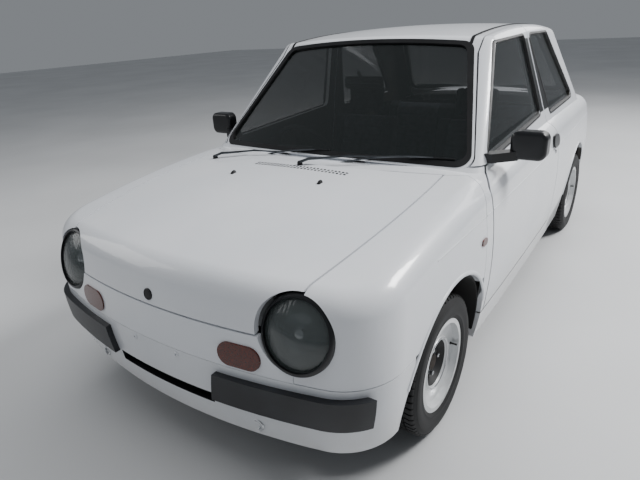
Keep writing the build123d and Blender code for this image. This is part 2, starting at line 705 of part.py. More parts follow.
# Tail panel with its lamp openings
tail_lamp_holes = [front_slot(side * tail_lamp_x, tail_lamp_z, tail_lamp_length + 2 * fit_gap,
                              tail_lamp_height + 2 * fit_gap, (1500, 2000)) for side in (-1, 1)]
with BuildPart() as rear_panel:
    add(wall_skin.part)
    add(block((-rear_panel_half, rear_panel_half), (1500, 2000), (bumper_seam_z, boot_seam_z - half_shut)),
        mode=Mode.INTERSECT)
    for hole in tail_lamp_holes:
        add(hole, mode=Mode.SUBTRACT)
rear_panel.part.label = "rear_panel"
export_step(rear_panel.part, "parts/rear_panel.step")

# Rear bumper cover
with BuildPart() as rear_bumper:
    add(wall_skin.part)
    add(block((-1000, 1000), (rear_axle_y + rear_arch_radius - 40, 2000), (bumper_bottom_z, bumper_seam_z)),
        mode=Mode.INTERSECT)
    add(rear_arches, mode=Mode.SUBTRACT)
rear_bumper.part.label = "rear_bumper"
export_step(rear_bumper.part, "parts/rear_bumper.step")

# Bumper pads on the four corners
pad_corners = []
for side in (-1, 1):
    for end in (-1, 1):
        near, far = (-2000, -pad_end_y) if end < 0 else (pad_end_y, 2000)
        with BuildPart() as pad_corner:
            with BuildSketch(Plane.XZ.offset(-far)):
                with BuildLine():
                    Polyline(
                        (side * pad_inner_x, pad_bottom_z),
                        (side * (pad_inner_x + pad_slant), pad_top_z),
                        (side * 900, pad_top_z + 6),
                        (side * 900, pad_bottom_z + 6),
                        close=True,
                    )
                make_face()
            extrude(amount=far - near)
        pad_corners.append(pad_corner.part)

with BuildPart() as pad_zone:
    for corner in pad_corners:
        add(corner)

with BuildPart() as bumper_pads:
    add(lower_body(-pad_proud, -pad_proud, -pad_proud))
    add(outer_body, mode=Mode.SUBTRACT)
    add(pad_zone.part, mode=Mode.INTERSECT)
bumper_pads.part.label = "bumper_pads"
export_step(bumper_pads.part, "parts/bumper_pads.step")

# Windscreen, and the rear window with the rear side windows
with BuildPart() as windscreen:
    add(glass_layer.part)
    add(windscreen_zone(gasket_width), mode=Mode.INTERSECT)
windscreen.part.label = "windscreen"
export_step(windscreen.part, "parts/windscreen.step")

with BuildPart() as rear_window_zones:
    add(rear_window_zone(gasket_width))
    add(side_view(quarter_window, (300, 1000), side_window_radius))
    add(side_view(quarter_window, (-1000, -300), side_window_radius))

with BuildPart() as rear_windows:
    add(glass_layer.part)
    add(rear_window_zones.part, mode=Mode.INTERSECT)
rear_windows.part.label = "rear_windows"
export_step(rear_windows.part, "parts/rear_windows.step")

# Rubber round both screens and in the roof ditches
proud_cabin = cabin(-gasket_proud, -gasket_proud)
with BuildPart() as gasket_zone:
    add(windscreen_hole)
    add(rear_window_hole)
    add(windscreen_zone(gasket_width - fit_gap), mode=Mode.SUBTRACT)
    add(rear_window_zone(gasket_width - fit_gap), mode=Mode.SUBTRACT)

with BuildPart() as ditch_zone:
    for side in (-1, 1):
        x = side * ditch_x
        add(block((x - ditch_width / 2, x + ditch_width / 2), ditch_y, (1300, 1600)))

with BuildPart() as ditch_strips:
    add(proud_cabin)
    add(outer_cabin, mode=Mode.SUBTRACT)
    add(ditch_zone.part, mode=Mode.INTERSECT)

with BuildPart() as weather_strips:
    add(proud_cabin)
    add(cabin(glass_inset + 2 * glass_thickness), mode=Mode.SUBTRACT)
    add(gasket_zone.part, mode=Mode.INTERSECT)
    add(ditch_strips.part)
weather_strips.part.label = "weather_strips"
export_step(weather_strips.part, "parts/weather_strips.step")

# Headlamps: a black ring and bowl, a bright reflector inside, and a domed lens
with BuildPart() as ring_shape:
    with BuildSketch(Plane.XY):
        with BuildLine():
            face = ThreePointArc((lamp_ring_radius, 0), (lamp_ring_radius - 3, -lamp_proud + 4),
                                 (lamp_ring_radius - 12, -lamp_proud))
            Polyline(
                face @ 1,
                (lamp_lens_radius + fit_gap, -lamp_proud + 4),
                (lamp_lens_radius + fit_gap, lamp_depth - 6),
                (0, lamp_depth - 6),
                (0, lamp_depth),
                (lamp_ring_radius, lamp_depth),
                (lamp_ring_radius, 0),
            )
        make_face()
    revolve(axis=Axis.Y)

def bowl(rim, depth, wall):
    """A thin round cap of a sphere about the Y axis, its rim at y = 0 and its deepest point at y = depth."""
    sphere = (rim * rim + depth * depth) / (2 * abs(depth))
    away = 1 if depth > 0 else -1
    half_angle = math.asin(rim / sphere)
    with BuildPart() as cap:
        with BuildSketch(Plane.XY):
            with BuildLine():
                arcs = []
                for radius in (sphere, sphere - wall):
                    points = [
                        (radius * math.sin(turn), depth + away * (radius * math.cos(turn) - sphere))
                        for turn in (half_angle, half_angle / 2, 0)
                    ]
                    arcs.append(ThreePointArc(*points))
                Line(arcs[0] @ 0, arcs[1] @ 0)
                Line(arcs[0] @ 1, arcs[1] @ 1)
            make_face()
        revolve(axis=Axis.Y)
    return cap.part


lens_shape = bowl(lamp_lens_radius, -lens_dome, 4)
reflector_shape = bowl(lamp_lens_radius, 88, 4)

for shape, back, name in ((ring_shape.part, 0, "headlamp_rings"), (reflector_shape, reflector_back, "headlamp_reflectors"),
                          (lens_shape, 0, "headlamp_lenses")):
    with BuildPart() as lamps:
        with Locations(lamp_place(1, back), lamp_place(-1, back)):
            add(shape)
    lamps.part.label = name
    export_step(lamps.part, f"parts/{name}.step")

# Indicators, side markers and tail lamps lie a little proud of the skin
proud_form = lower_body(-lamp_proud_small, -lamp_proud_small, -lamp_proud_small)
with BuildPart() as indicators:
    add(proud_form)
    add(thin_space, mode=Mode.SUBTRACT)
    add(front_slot(indicator_x, indicator_z, indicator_length, indicator_height, (-2000, -1500)), mode=Mode.INTERSECT)
    mirror(about=Plane.YZ)

with BuildPart() as markers:
    with BuildSketch(Plane.YZ.offset(600)):
        with Locations((marker_y, marker_z)):
            SlotOverall(marker_length, marker_height)
    extrude(amount=400)
    add(proud_form, mode=Mode.INTERSECT)
    add(outer_body, mode=Mode.SUBTRACT)
    mirror(about=Plane.YZ)

with BuildPart() as turn_signals:
    add(indicators.part)
    add(markers.part)
turn_signals.part.label = "turn_signals"
export_step(turn_signals.part, "parts/turn_signals.step")

with BuildPart() as tail_lamps:
    add(proud_form)
    add(room, mode=Mode.SUBTRACT)
    add(front_slot(tail_lamp_x, tail_lamp_z, tail_lamp_length, tail_lamp_height, (1500, 2000)), mode=Mode.INTERSECT)
    mirror(about=Plane.YZ)
tail_lamps.part.label = "tail_lamps"
export_step(tail_lamps.part, "parts/tail_lamps.step")

# Front structure: cross members, rails, inner wings with wheel liners, and the bulkhead
bay_space = lower_body(skin_thin, skin_thin, skin_thin + bay_clearance, lower_margin)
with BuildPart() as front_liners:
    add(bar("X", front_arch_radius - fit_gap, (0, front_arch_y, axle_z), 2000))
    add(bar("X", front_arch_radius - liner_thickness, (0, front_arch_y, axle_z), 2000), mode=Mode.SUBTRACT)
    add(block((-1000, 1000), (-2000, 0), (floor_z + floor_thickness, 1000)), mode=Mode.INTERSECT)
    add(block((-apron_x, apron_x), (-2000, 0), (0, 1000)), mode=Mode.SUBTRACT)
    add(thin_space, mode=Mode.INTERSECT)

with BuildPart() as bay_parts:
    add(block((-560, 560), (-2000, nose_back_y), (480, 625)))
    add(block((-560, 560), (-2000, nose_back_y), (256, 330)))
    for side in (-1, 1):
        add(block(sorted((side * 430, side * 560)), (-2000, nose_back_y), (256, 625)))
        add(block(sorted((side * (rail_x - rail_half), side * (rail_x + rail_half))),
                  (nose_back_y, bulkhead_face_y), rail_z))
        add(block(sorted((side * rail_x, side * (apron_x + apron_thickness))), (nose_back_y, nose_back_y + 12),
                  (300, 620)))
        add(block(sorted((side * apron_x, side * (apron_x + apron_thickness))), (nose_back_y, bulkhead_face_y),
                  (290, 800)))
        add(block(sorted((side * (rail_x + rail_half), side * apron_x)), (nose_back_y, bulkhead_face_y), (340, 352)))
    add(block((-800, 800), (bulkhead_face_y - bulkhead_thickness, bulkhead_face_y), (floor_z, 1000)))
    add(bay_space, mode=Mode.INTERSECT)

with BuildPart() as cowl_support:
    add(room)
    add(block((-520, 520), (bulkhead_face_y - bulkhead_thickness, bulkhead_face_y), (700, 1000)), mode=Mode.INTERSECT)

with BuildPart() as well_space:
    add(bar("X", front_arch_radius, (0, front_arch_y, axle_z), 2000))
    add(block((-apron_x, apron_x), (-2000, 0), (0, 1000)), mode=Mode.SUBTRACT)

with BuildPart() as front_structure:
    add(bay_parts.part)
    add(cowl_support.part)
    add(block((-tunnel_half + sheet, tunnel_half - sheet), (-900, -700), (0, floor_z + tunnel_height - sheet)),
        mode=Mode.SUBTRACT)
    add(well_space.part, mode=Mode.SUBTRACT)
    add(block((apron_x, apron_x + apron_thickness), (nose_back_y, bulkhead_face_y), (290, 700)))
    add(block((-apron_x - apron_thickness, -apron_x), (nose_back_y, bulkhead_face_y), (290, 700)))
    add(front_liners.part)
    for side in (-1, 1):
        add(bar("Y", plate_hole_radius + 5, (side * plate_spacing / 2, -1750, plate_z), 200), mode=Mode.SUBTRACT)
    for void in lamp_barrels + hinge_slots:
        add(void, mode=Mode.SUBTRACT)
front_structure.part.label = "front_structure"
export_step(front_structure.part, "parts/front_structure.step")

# Floor with tunnel, seat step, boot floor, seat bulkhead and rear wheel housings
well_wall_x = 575.0
with BuildPart() as rear_well_walls:
    for side in (-1, 1):
        x = side * (well_wall_x + liner_thickness / 2)
        add(bar("X", rear_arch_radius - fit_gap, (x, rear_axle_y, axle_z), liner_thickness))
    add(block((-1000, 1000), (0, 2000), (rear_floor_z, 1000)), mode=Mode.INTERSECT)

with BuildPart() as rear_liners:
    add(bar("X", rear_arch_radius - fit_gap, (0, rear_axle_y, axle_z), 2000))
    add(bar("X", rear_arch_radius - liner_thickness, (0, rear_axle_y, axle_z), 2000), mode=Mode.SUBTRACT)
    add(block((-1000, 1000), (0, 2000), (floor_z, 1000)), mode=Mode.INTERSECT)
    add(rear_well_walls.part)
    add(block((-well_wall_x, well_wall_x), (0, 2000), (0, 1000)), mode=Mode.SUBTRACT)
    add(thin_space, mode=Mode.INTERSECT)

with BuildPart() as rear_well_space:
    add(rear_arches)
    add(block((-well_wall_x, well_wall_x), (0, 2000), (0, 1000)), mode=Mode.SUBTRACT)

with BuildPart() as floor_pan:
    add(block((-800, 800), (bulkhead_face_y, heel_y + sheet), (floor_z, floor_z + floor_thickness)))
    add(block((-tunnel_half, tunnel_half), (bulkhead_face_y, heel_y + sheet), (floor_z, floor_z + tunnel_height)))
    add(block((-800, 800), (heel_y, heel_y + sheet), (floor_z, rear_floor_z + sheet)))
    add(block((-800, 800), (heel_y, 2000), (rear_floor_z, rear_floor_z + sheet)))
    add(block((-800, 800), (seat_bulkhead_y, seat_bulkhead_y + sheet), (rear_floor_z, 1000)))
    add(block((-tunnel_half + sheet, tunnel_half - sheet), (-1000, heel_y + 100), (0, floor_z + tunnel_height - sheet)),
        mode=Mode.SUBTRACT)
    add(room, mode=Mode.INTERSECT)
    add(rear_well_space.part, mode=Mode.SUBTRACT)
    add(well_space.part, mode=Mode.SUBTRACT)
    add(rear_liners.part)
floor_pan.part.label = "floor_pan"
export_step(floor_pan.part, "parts/floor_pan.step")
# Engine with its half shafts, resting between the rails
with BuildPart() as engine_block:
    add(block((-(rail_x - rail_half), rail_x - rail_half), engine_y, engine_z))
    fillet(engine_block.edges().filter_by(Axis.X), 30)
    add(bar("X", shaft_radius, (0, front_axle_y, axle_z), 2 * shaft_reach))
    for side in (-1, 1):
        add(bar("X", shaft_radius * 2, (side * (shaft_reach - 25), front_axle_y, axle_z), 50))
engine_block.part.label = "engine_block"
export_step(engine_block.part, "parts/engine_block.step")

# Front suspension: lower and upper arms with the steering pins, and the struts
arm_x = (rail_x - 15, kingpin_x + 20)
with BuildPart() as front_suspension:
    for side in (-1, 1):
        low_z, high_z = axle_z - kingpin_reach, axle_z + kingpin_reach
        arm_y = (front_axle_y - 20, front_axle_y + 20)
        add(block(sorted((side * arm_x[0], side * arm_x[1])), arm_y, (low_z - arm_gauge, low_z)))
        add(block(sorted((side * arm_x[0], side * (rail_x + 15))), (front_axle_y - 60, front_axle_y + 60),
                  (low_z - arm_gauge, low_z)))
        for post_y in (front_axle_y - 60, front_axle_y + 35):
            add(block(sorted((side * arm_x[0], side * (rail_x + 15))), (post_y, post_y + 25), (low_z - arm_gauge, rail_z[0])))
        add(block(sorted((side * 500, side * arm_x[1])), arm_y, (high_z, high_z + arm_gauge)))
        add(bar("Z", strut_radius, (side * strut_x, front_axle_y, (high_z + strut_top_z) / 2), strut_top_z - high_z))
        add(bar("Z", kingpin_radius, (side * kingpin_x, front_axle_y, low_z + 7.5), 15))
        add(bar("Z", kingpin_radius, (side * kingpin_x, front_axle_y, high_z - 7.5), 15))
front_suspension.part.label = "front_suspension"
export_step(front_suspension.part, "parts/front_suspension.step")

# Steering knuckles with brake discs and hubs
hub_x = half_track + hub_face
with BuildPart() as knuckle_left:
    with Locations((kingpin_x, front_axle_y, axle_z)):
        Cylinder(18, 2 * (kingpin_reach - fit_gap))
    add(bar("Z", kingpin_radius + fit_gap, (kingpin_x, front_axle_y, axle_z - kingpin_reach + 8), 17),
        mode=Mode.SUBTRACT)
    add(bar("Z", kingpin_radius + fit_gap, (kingpin_x, front_axle_y, axle_z + kingpin_reach - 8), 17),
        mode=Mode.SUBTRACT)
    add(bar("X", 42, ((kingpin_x + hub_x) / 2, front_axle_y, axle_z), hub_x - kingpin_x - 2 * fit_gap))
    add(bar("X", brake_radius, (hub_x - 15, front_axle_y, axle_z), 10))
    add(bar("X", hub_radius, (hub_x - 5 - fit_gap, front_axle_y, axle_z), 10))
    add(bar("X", hub_bore_radius - fit_gap, (hub_x + 5, front_axle_y, axle_z), 30))

# Rear axle: a beam on two arms that run forward to the floor, coil springs under the boot floor
with BuildPart() as rear_axle:
    add(bar("X", beam_radius, (0, rear_axle_y, axle_z), 2 * (half_track - 60)))
    for side in (-1, 1):
        add(block(sorted((side * (rear_arm_x - 20), side * (rear_arm_x + 20))), (heel_y + 40, rear_axle_y),
                  (axle_z - 18, axle_z + 18)))
        add(block(sorted((side * (rear_arm_x - 20), side * (rear_arm_x + 20))), (heel_y + 40, heel_y + 90),
                  (axle_z - 18, rear_floor_z)))
        add(bar("Z", spring_radius, (side * rear_arm_x, rear_axle_y, (axle_z + rear_floor_z) / 2),
                rear_floor_z - axle_z))
        add(bar("X", 42, (side * (half_track - 40), rear_axle_y, axle_z), 60))
        add(bar("X", brake_radius, (side * (hub_x - 22), rear_axle_y, axle_z), 30))
        add(bar("X", hub_radius, (side * (hub_x - 5 - fit_gap), rear_axle_y, axle_z), 10))
        add(bar("X", hub_bore_radius - fit_gap, (side * (hub_x + 5), rear_axle_y, axle_z), 30))
rear_axle.part.label = "rear_axle"
export_step(rear_axle.part, "parts/rear_axle.step")

for side, word in ((1, "left"), (-1, "right")):
    knuckle = sided(knuckle_left.part, side)
    knuckle.label = f"knuckle_{word}"
    export_step(knuckle, f"parts/knuckle_{word}.step")

# Wheels, made about the X axis with their outer face towards +X: steel rim with its disc, and tyre
half_rim = rim_width / 2
well_radius = seat_radius - 16
with BuildPart() as rim_shape:
    with BuildSketch(Plane.XY) as barrel:
        with BuildLine():
            Polyline(
                (-half_rim, rim_radius),
                (-half_rim + rim_gauge, rim_radius),
                (-half_rim + rim_gauge, seat_radius),
                (-36, seat_radius - 2),
                (-28, well_radius),
                (28, well_radius),
                (36, seat_radius - 2),
                (half_rim - rim_gauge, seat_radius),
                (half_rim - rim_gauge, rim_radius),
                (half_rim, rim_radius),
                (half_rim, seat_radius - rim_gauge),
                (40, seat_radius - rim_gauge - 2),
                (31, well_radius - rim_gauge),
                (-31, well_radius - rim_gauge),
                (-40, seat_radius - rim_gauge - 2),
                (-half_rim, seat_radius - rim_gauge),
                close=True,
            )
        make_face()
    with BuildSketch(Plane.XY) as disc:
        with BuildLine():
            Polyline(
                (hub_face, hub_bore_radius),
                (hub_face, 72),
                (30, wheel_window_radius),
                (30, well_radius - 2),
                (36, seat_radius - rim_gauge),
                (42, seat_radius - rim_gauge),
                (36, well_radius - 4),
                (36, wheel_window_radius + 14),
                (46, wheel_window_radius + 8),
                (46, wheel_window_radius + 2),
                (hub_face + rim_gauge, 68),
                (hub_face + rim_gauge, hub_bore_radius),
                close=True,
            )
        make_face()
    revolve(axis=Axis.X)

half_tyre = tyre_width / 2
with BuildPart() as tyre_shape:
    with BuildSketch(Plane.XY):
        with BuildLine():
            Polyline(
                (bead_gap - half_tyre, rim_radius + fit_gap),
                (-half_tyre, wall_radius),
                (tyre_shoulder - half_tyre, tyre_radius),
                (half_tyre - tyre_shoulder, tyre_radius),
                (half_tyre, wall_radius),
                (half_tyre - bead_gap, rim_radius + fit_gap),
                close=True,
            )
        make_face()
    revolve(axis=Axis.X)

for end, y in (("front", front_axle_y), ("rear", rear_axle_y)):
    for side, word in ((1, "left"), (-1, "right")):
        for shape, name in ((rim_shape, "rim"), (tyre_shape, "tyre")):
            wheel_piece = sided(shape.part, side).moved(Location((side * half_track, y, axle_z)))
            wheel_piece.label = f"{name}_{end}_{word}"
            export_step(wheel_piece, f"parts/{name}_{end}_{word}.step")

# Fuel tank under the rear seat
with BuildPart() as fuel_tank:
    add(block((0, 400), (heel_y + 110, seat_bulkhead_y - 20), (floor_z + 15, rear_floor_z)))
    fillet(fuel_tank.edges().filter_by(Axis.Z), 40)
fuel_tank.part.label = "fuel_tank"
export_step(fuel_tank.part, "parts/fuel_tank.step")

# Exhaust: pipe through the tunnel and over the axle, cross silencer, tail pipe
with BuildPart() as exhaust:
    with BuildLine(Plane.YZ.offset(exhaust_x)) as exhaust_route:
        FilletPolyline(
            (engine_y[1], pipe_low_z),
            (heel_y + 60, pipe_low_z),
            (heel_y + 180, pipe_high_z),
            (rear_axle_y + 140, pipe_high_z),
            (silencer_y, silencer_z),
            radius=60,
        )
    with BuildSketch(Plane(origin=exhaust_route.line @ 0, z_dir=exhaust_route.line % 0)):
        Circle(pipe_radius)
    sweep(path=exhaust_route.line)
    add(bar("X", silencer_radius, (exhaust_x - 110, silencer_y, silencer_z), 400))
    add(bar("Y", pipe_radius, (exhaust_x - 220, silencer_y + 150, silencer_z - silencer_radius - pipe_radius + 4), 300))
    add(block((exhaust_x - 115, exhaust_x - 105), (silencer_y - 15, silencer_y + 15), (silencer_z, rear_floor_z)))
exhaust.part.label = "exhaust"
export_step(exhaust.part, "parts/exhaust.step")

# Dashboard with the steering column
column_plane = Plane(origin=wheel_centre, x_dir=(1, 0, 0), z_dir=column_direction)
with BuildPart() as dashboard:
    add(side_view([
        (bulkhead_face_y, 660),
        (bulkhead_face_y, 850),
        (-660, 866),
        (-590, 850),
        (-560, 780),
        (-585, 680),
        (-640, 650),
    ], (-650, 650), 18))
    add(block((wheel_centre[0] - 150, wheel_centre[0] + 150), (-650, -560), (800, 885)))
    add(room, mode=Mode.INTERSECT)
    for slot in hinge_slots:
        add(slot, mode=Mode.SUBTRACT)
    with BuildSketch(column_plane.offset(-30)):
        Circle(column_radius)
    extrude(amount=-170)
    with BuildSketch(column_plane.offset(-30)):
        Circle(spindle_radius + fit_gap)
    extrude(amount=-60, mode=Mode.SUBTRACT)
dashboard.part.label = "dashboard"
export_step(dashboard.part, "parts/dashboard.step")

# Steering wheel with two broad spokes
with BuildPart() as steering_wheel:
    with BuildSketch(Plane.XZ) as grip:
        with Locations((steering_radius, 0)):
            Circle(steering_grip)
    revolve(axis=Axis.Z)
    Cylinder(52, 26)
    with BuildSketch(Plane.XY.offset(-6)):
        Rectangle(2 * steering_radius, 46)
        with Locations((0, -steering_radius / 2)):
            Rectangle(50, steering_radius)
    extrude(amount=10)
    with Locations((0, 0, -45)):
        Cylinder(spindle_radius, 80)
with BuildPart() as placed_wheel:
    add(steering_wheel.part.moved(column_plane.location))
placed_wheel.part.label = "steering_wheel"
export_step(placed_wheel.part, "parts/steering_wheel.step")

# Front seats: cushion, leaning back and head restraint on a plinth
with BuildPart() as front_seats:
    for x in (-seat_x, seat_x):
        width = (x - seat_half, x + seat_half)
        add(block((x - 150, x + 150), (-230, 150), (floor_z + floor_thickness, 320)))
        add(side_view([(-310, 330), (-300, 455), (-120, 440), (150, 400), (170, 310), (-100, 300)], width, 22))
        add(side_view([(120, 320), (70, 430), (215, 925), (300, 920), (235, 400), (200, 320)], width, 20))
        add(side_view([(225, 905), (205, 960), (228, 1085), (300, 1080), (285, 905)], (x - 120, x + 120), 18))
front_seats.part.label = "front_seats"
export_step(front_seats.part, "parts/front_seats.step")

# Rear bench
with BuildPart() as rear_seat:
    add(side_view([(heel_y + 25, rear_floor_z + sheet), (heel_y + 20, 520), (heel_y + 60, 535), (880, 490),
                   (900, rear_floor_z + sheet)], (-560, 560)))
    add(side_view([(850, 480), (905, 880), (960, 905), (seat_bulkhead_y, 880), (seat_bulkhead_y, rear_floor_z + sheet),
                   (880, rear_floor_z + sheet)], (-560, 560)))
rear_seat.part.label = "rear_seat"
export_step(rear_seat.part, "parts/rear_seat.step")

# Door mirrors: a rounded housing on an arm from the corner of the door window
with BuildPart() as mirror_left:
    with BuildSketch(Plane.XZ.offset(-mirror_y[1])):
        with Locations(((mirror_x[0] + mirror_x[1]) / 2, (mirror_z[0] + mirror_z[1]) / 2)):
            RectangleRounded(mirror_x[1] - mirror_x[0], mirror_z[1] - mirror_z[0], 32)
    extrude(amount=mirror_y[1] - mirror_y[0])
    fillet(mirror_left.faces().sort_by(Axis.Y)[0].edges(), 16)
    add(plan_view(mirror_arm, mirror_arm_z))
    add(outer_cabin, mode=Mode.SUBTRACT)
    add(outer_body, mode=Mode.SUBTRACT)

# Door handles: a plate on the skin with a grip
with BuildPart() as handle_left:
    with BuildSketch(Plane.YZ.offset(600)):
        with Locations((handle_y, handle_z)):
            SlotOverall(handle_length, handle_height)
    extrude(amount=400)
    add(lower_body(-12, -12, -12), mode=Mode.INTERSECT)
    add(outer_body, mode=Mode.SUBTRACT)

for side, word in ((1, "left"), (-1, "right")):
    for shape, name in ((mirror_left, "mirror"), (handle_left, "handle")):
        fitting = sided(shape.part, side)
        fitting.label = f"{name}_{word}"
        export_step(fitting, f"parts/{name}_{word}.step")
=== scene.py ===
# %% [markdown]
# # Dressing a small rounded city car
#
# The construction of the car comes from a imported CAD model: every panel, pane, wheel and seat is a
# node with its real size, riding on a body that may turn about a hinge. This lesson dresses those
# nodes with finishes and adds the fine pieces that a solid model leaves out: tread, seals, stuffed
# seats, wipers, bulb shields and small fittings.

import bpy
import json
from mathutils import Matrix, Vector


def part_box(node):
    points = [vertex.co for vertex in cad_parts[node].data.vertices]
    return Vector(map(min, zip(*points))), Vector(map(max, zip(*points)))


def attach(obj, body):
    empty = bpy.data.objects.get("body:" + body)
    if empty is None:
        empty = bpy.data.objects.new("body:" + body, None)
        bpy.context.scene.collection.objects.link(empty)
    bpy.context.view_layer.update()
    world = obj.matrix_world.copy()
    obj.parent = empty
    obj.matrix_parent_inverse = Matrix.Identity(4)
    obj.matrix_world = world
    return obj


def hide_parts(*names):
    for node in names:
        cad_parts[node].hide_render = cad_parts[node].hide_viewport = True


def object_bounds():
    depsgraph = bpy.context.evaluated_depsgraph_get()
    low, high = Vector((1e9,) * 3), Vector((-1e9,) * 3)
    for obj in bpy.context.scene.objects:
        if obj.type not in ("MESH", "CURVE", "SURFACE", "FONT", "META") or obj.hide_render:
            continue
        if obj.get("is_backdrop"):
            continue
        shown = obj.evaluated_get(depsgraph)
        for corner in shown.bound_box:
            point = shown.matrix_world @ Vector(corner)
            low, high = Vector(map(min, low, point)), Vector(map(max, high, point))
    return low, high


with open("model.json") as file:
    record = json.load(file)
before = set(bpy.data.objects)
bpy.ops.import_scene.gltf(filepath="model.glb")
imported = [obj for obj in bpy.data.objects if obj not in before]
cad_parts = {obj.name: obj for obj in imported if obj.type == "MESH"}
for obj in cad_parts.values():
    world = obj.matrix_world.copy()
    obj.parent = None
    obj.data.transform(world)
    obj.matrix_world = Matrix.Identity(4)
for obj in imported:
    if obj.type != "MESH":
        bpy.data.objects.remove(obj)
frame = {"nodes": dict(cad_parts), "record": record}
cad_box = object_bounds()
print("CAD box", [round(v, 3) for v in (*cad_box[0], *cad_box[1])])

# %% Which body each node rides on, and which finish it has
import json
import math

import bmesh
import bpy
from mathutils import Matrix, Vector
from mathutils.bvhtree import BVHTree

record = frame["record"]
body_of = {node: body for body, nodes in record["behaviour"]["bodies"].items() for node in nodes}

# %% [markdown]
# ## Colours and one helper for nodes
#
# Colours are given as sRGB hex values, as a paint chart gives them, but a shader works in linear
# light. One function turns them. A second function adds a node, sets it and links it, so that each
# material below reads as a short list of what its surface is made of.

# %% Colour and node helpers
def linear(hex_colour):
    """An sRGB hex colour as linear RGBA."""
    parts = [int(hex_colour[i:i + 2], 16) / 255 for i in (1, 3, 5)]
    return (*[c / 12.92 if c <= 0.04045 else ((c + 0.055) / 1.055) ** 2.4 for c in parts], 1.0)


def add_node(tree, kind, inputs=None, **settings):
    """A node of a kind, with its settings, its inputs set or linked."""
    node = tree.nodes.new(kind)
    for key, value in settings.items():
        setattr(node, key, value)
    for key, value in (inputs or {}).items():
        if isinstance(value, bpy.types.NodeSocket):
            tree.links.new(value, node.inputs[key])
        else:
            node.inputs[key].default_value = value
    return node


def new_material(name, **shader_inputs):
    """A material with a shader whose plain inputs are set, and the objects' own coordinates."""
    material = bpy.data.materials.new(name)
    material.use_nodes = True
    tree = material.node_tree
    shader = tree.nodes["Principled BSDF"]
    for key, value in shader_inputs.items():
        shader.inputs[key.replace("_", " ")].default_value = value
    place = add_node(tree, "ShaderNodeTexCoord").outputs["Object"]
    return material, tree, shader, place


def two_tone(tree, shader, place, scale, low, high, detail=3.0, span=(0.35, 0.65)):
    """Lets the colour drift between two tones as a noise of a given scale does."""
    noise = add_node(tree, "ShaderNodeTexNoise", {"Vector": place, "Scale": scale, "Detail": detail})
    ramp = add_node(tree, "ShaderNodeValToRGB", {"Fac": noise.outputs["Fac"]})
    ramp.color_ramp.elements[0].position, ramp.color_ramp.elements[1].position = span
    ramp.color_ramp.elements[0].color, ramp.color_ramp.elements[1].color = linear(low), linear(high)
    tree.links.new(ramp.outputs["Color"], shader.inputs["Base Color"])
    return ramp


def grain(tree, shader, place, scale, strength, distance, detail=2.0):
    """A fine bump, its scale in bumps per metre."""
    noise = add_node(tree, "ShaderNodeTexNoise", {"Vector": place, "Scale": scale, "Detail": detail})
    bump = add_node(tree, "ShaderNodeBump", {"Height": noise.outputs["Fac"], "Strength": strength,
                                             "Distance": distance})
    tree.links.new(bump.outputs["Normal"], shader.inputs["Normal"])


print("helpers ready")

# %% [markdown]
# ## Body paint
#
# The body is pressed steel in solid white acrylic enamel under a clear coat. Solid white has no
# flake, so what gives it away as paint is the sharp reflection of the coat over a soft white, the
# faint orange peel that a spray gun leaves at a spacing of about 8 mm, and road dust low down.

# %% White enamel
def white_enamel(name, clean, shade, rough):
    """Solid white paint with a clear coat, orange peel, and dust towards the sills."""
    material, tree, shader, place = new_material(name, Roughness=rough, Coat_Weight=0.7, Coat_Roughness=0.04)
    drift = two_tone(tree, shader, place, 2.5, shade, clean)
    height = add_node(tree, "ShaderNodeSeparateXYZ", {"Vector": place}).outputs["Z"]
    low = add_node(tree, "ShaderNodeMapRange", {"Value": height, "From Min": 0.42, "From Max": 0.2,
                                                "To Min": 0.0, "To Max": 0.55})
    spots = add_node(tree, "ShaderNodeTexNoise", {"Vector": place, "Scale": 14.0, "Detail": 6.0})
    dust = add_node(tree, "ShaderNodeMath", {0: low.outputs["Result"], 1: spots.outputs["Fac"]},
                    operation="MULTIPLY")
    mixed = add_node(tree, "ShaderNodeMix", {"Factor": dust.outputs["Value"], "A": drift.outputs["Color"],
                                             "B": linear("#B9B2A6")}, data_type="RGBA")
    tree.links.new(mixed.outputs[2], shader.inputs["Base Color"])
    grain(tree, shader, place, 120.0, 0.06, 0.0004)
    return material


enamel = white_enamel("white_enamel", "#E6E8EC", "#DFE2E7", 0.32)
bumper_enamel = white_enamel("white_bumper_enamel", "#E1E3E7", "#D9DCE0", 0.38)
print("paint:", enamel.name, bumper_enamel.name)

# %% [markdown]
# ## Moulded plastics and rubber
#
# Bumper pads, mirrors, handles and lamp rings are moulded polypropylene or ABS. Polypropylene comes
# out of a grained mould: a leather-like texture of about 1 mm, semi-matt, greying where weather
# reaches it. EPDM rubber round the panes is smoother and blacker, and dulls with age.

# %% Plastics and rubbers
def moulded(name, dark, light, rough, grit, strength):
    """A grained moulded surface, its grit given in grains per metre."""
    material, tree, shader, place = new_material(name, Roughness=rough, IOR=1.49)
    two_tone(tree, shader, place, 6.0, dark, light)
    grain(tree, shader, place, grit, strength, 0.0005)
    return material


# Outside: weathered polypropylene pads, satin ABS rings and handles, and EPDM rubber, the deepest black.
pad_plastic = moulded("grained_polypropylene", "#17181B", "#25272B", 0.42, 700.0, 0.35)
ring_plastic = moulded("satin_abs", "#121315", "#1B1C1F", 0.3, 500.0, 0.08)
seal_rubber = moulded("epdm_rubber", "#0E0E0F", "#18181A", 0.5, 400.0, 0.15)
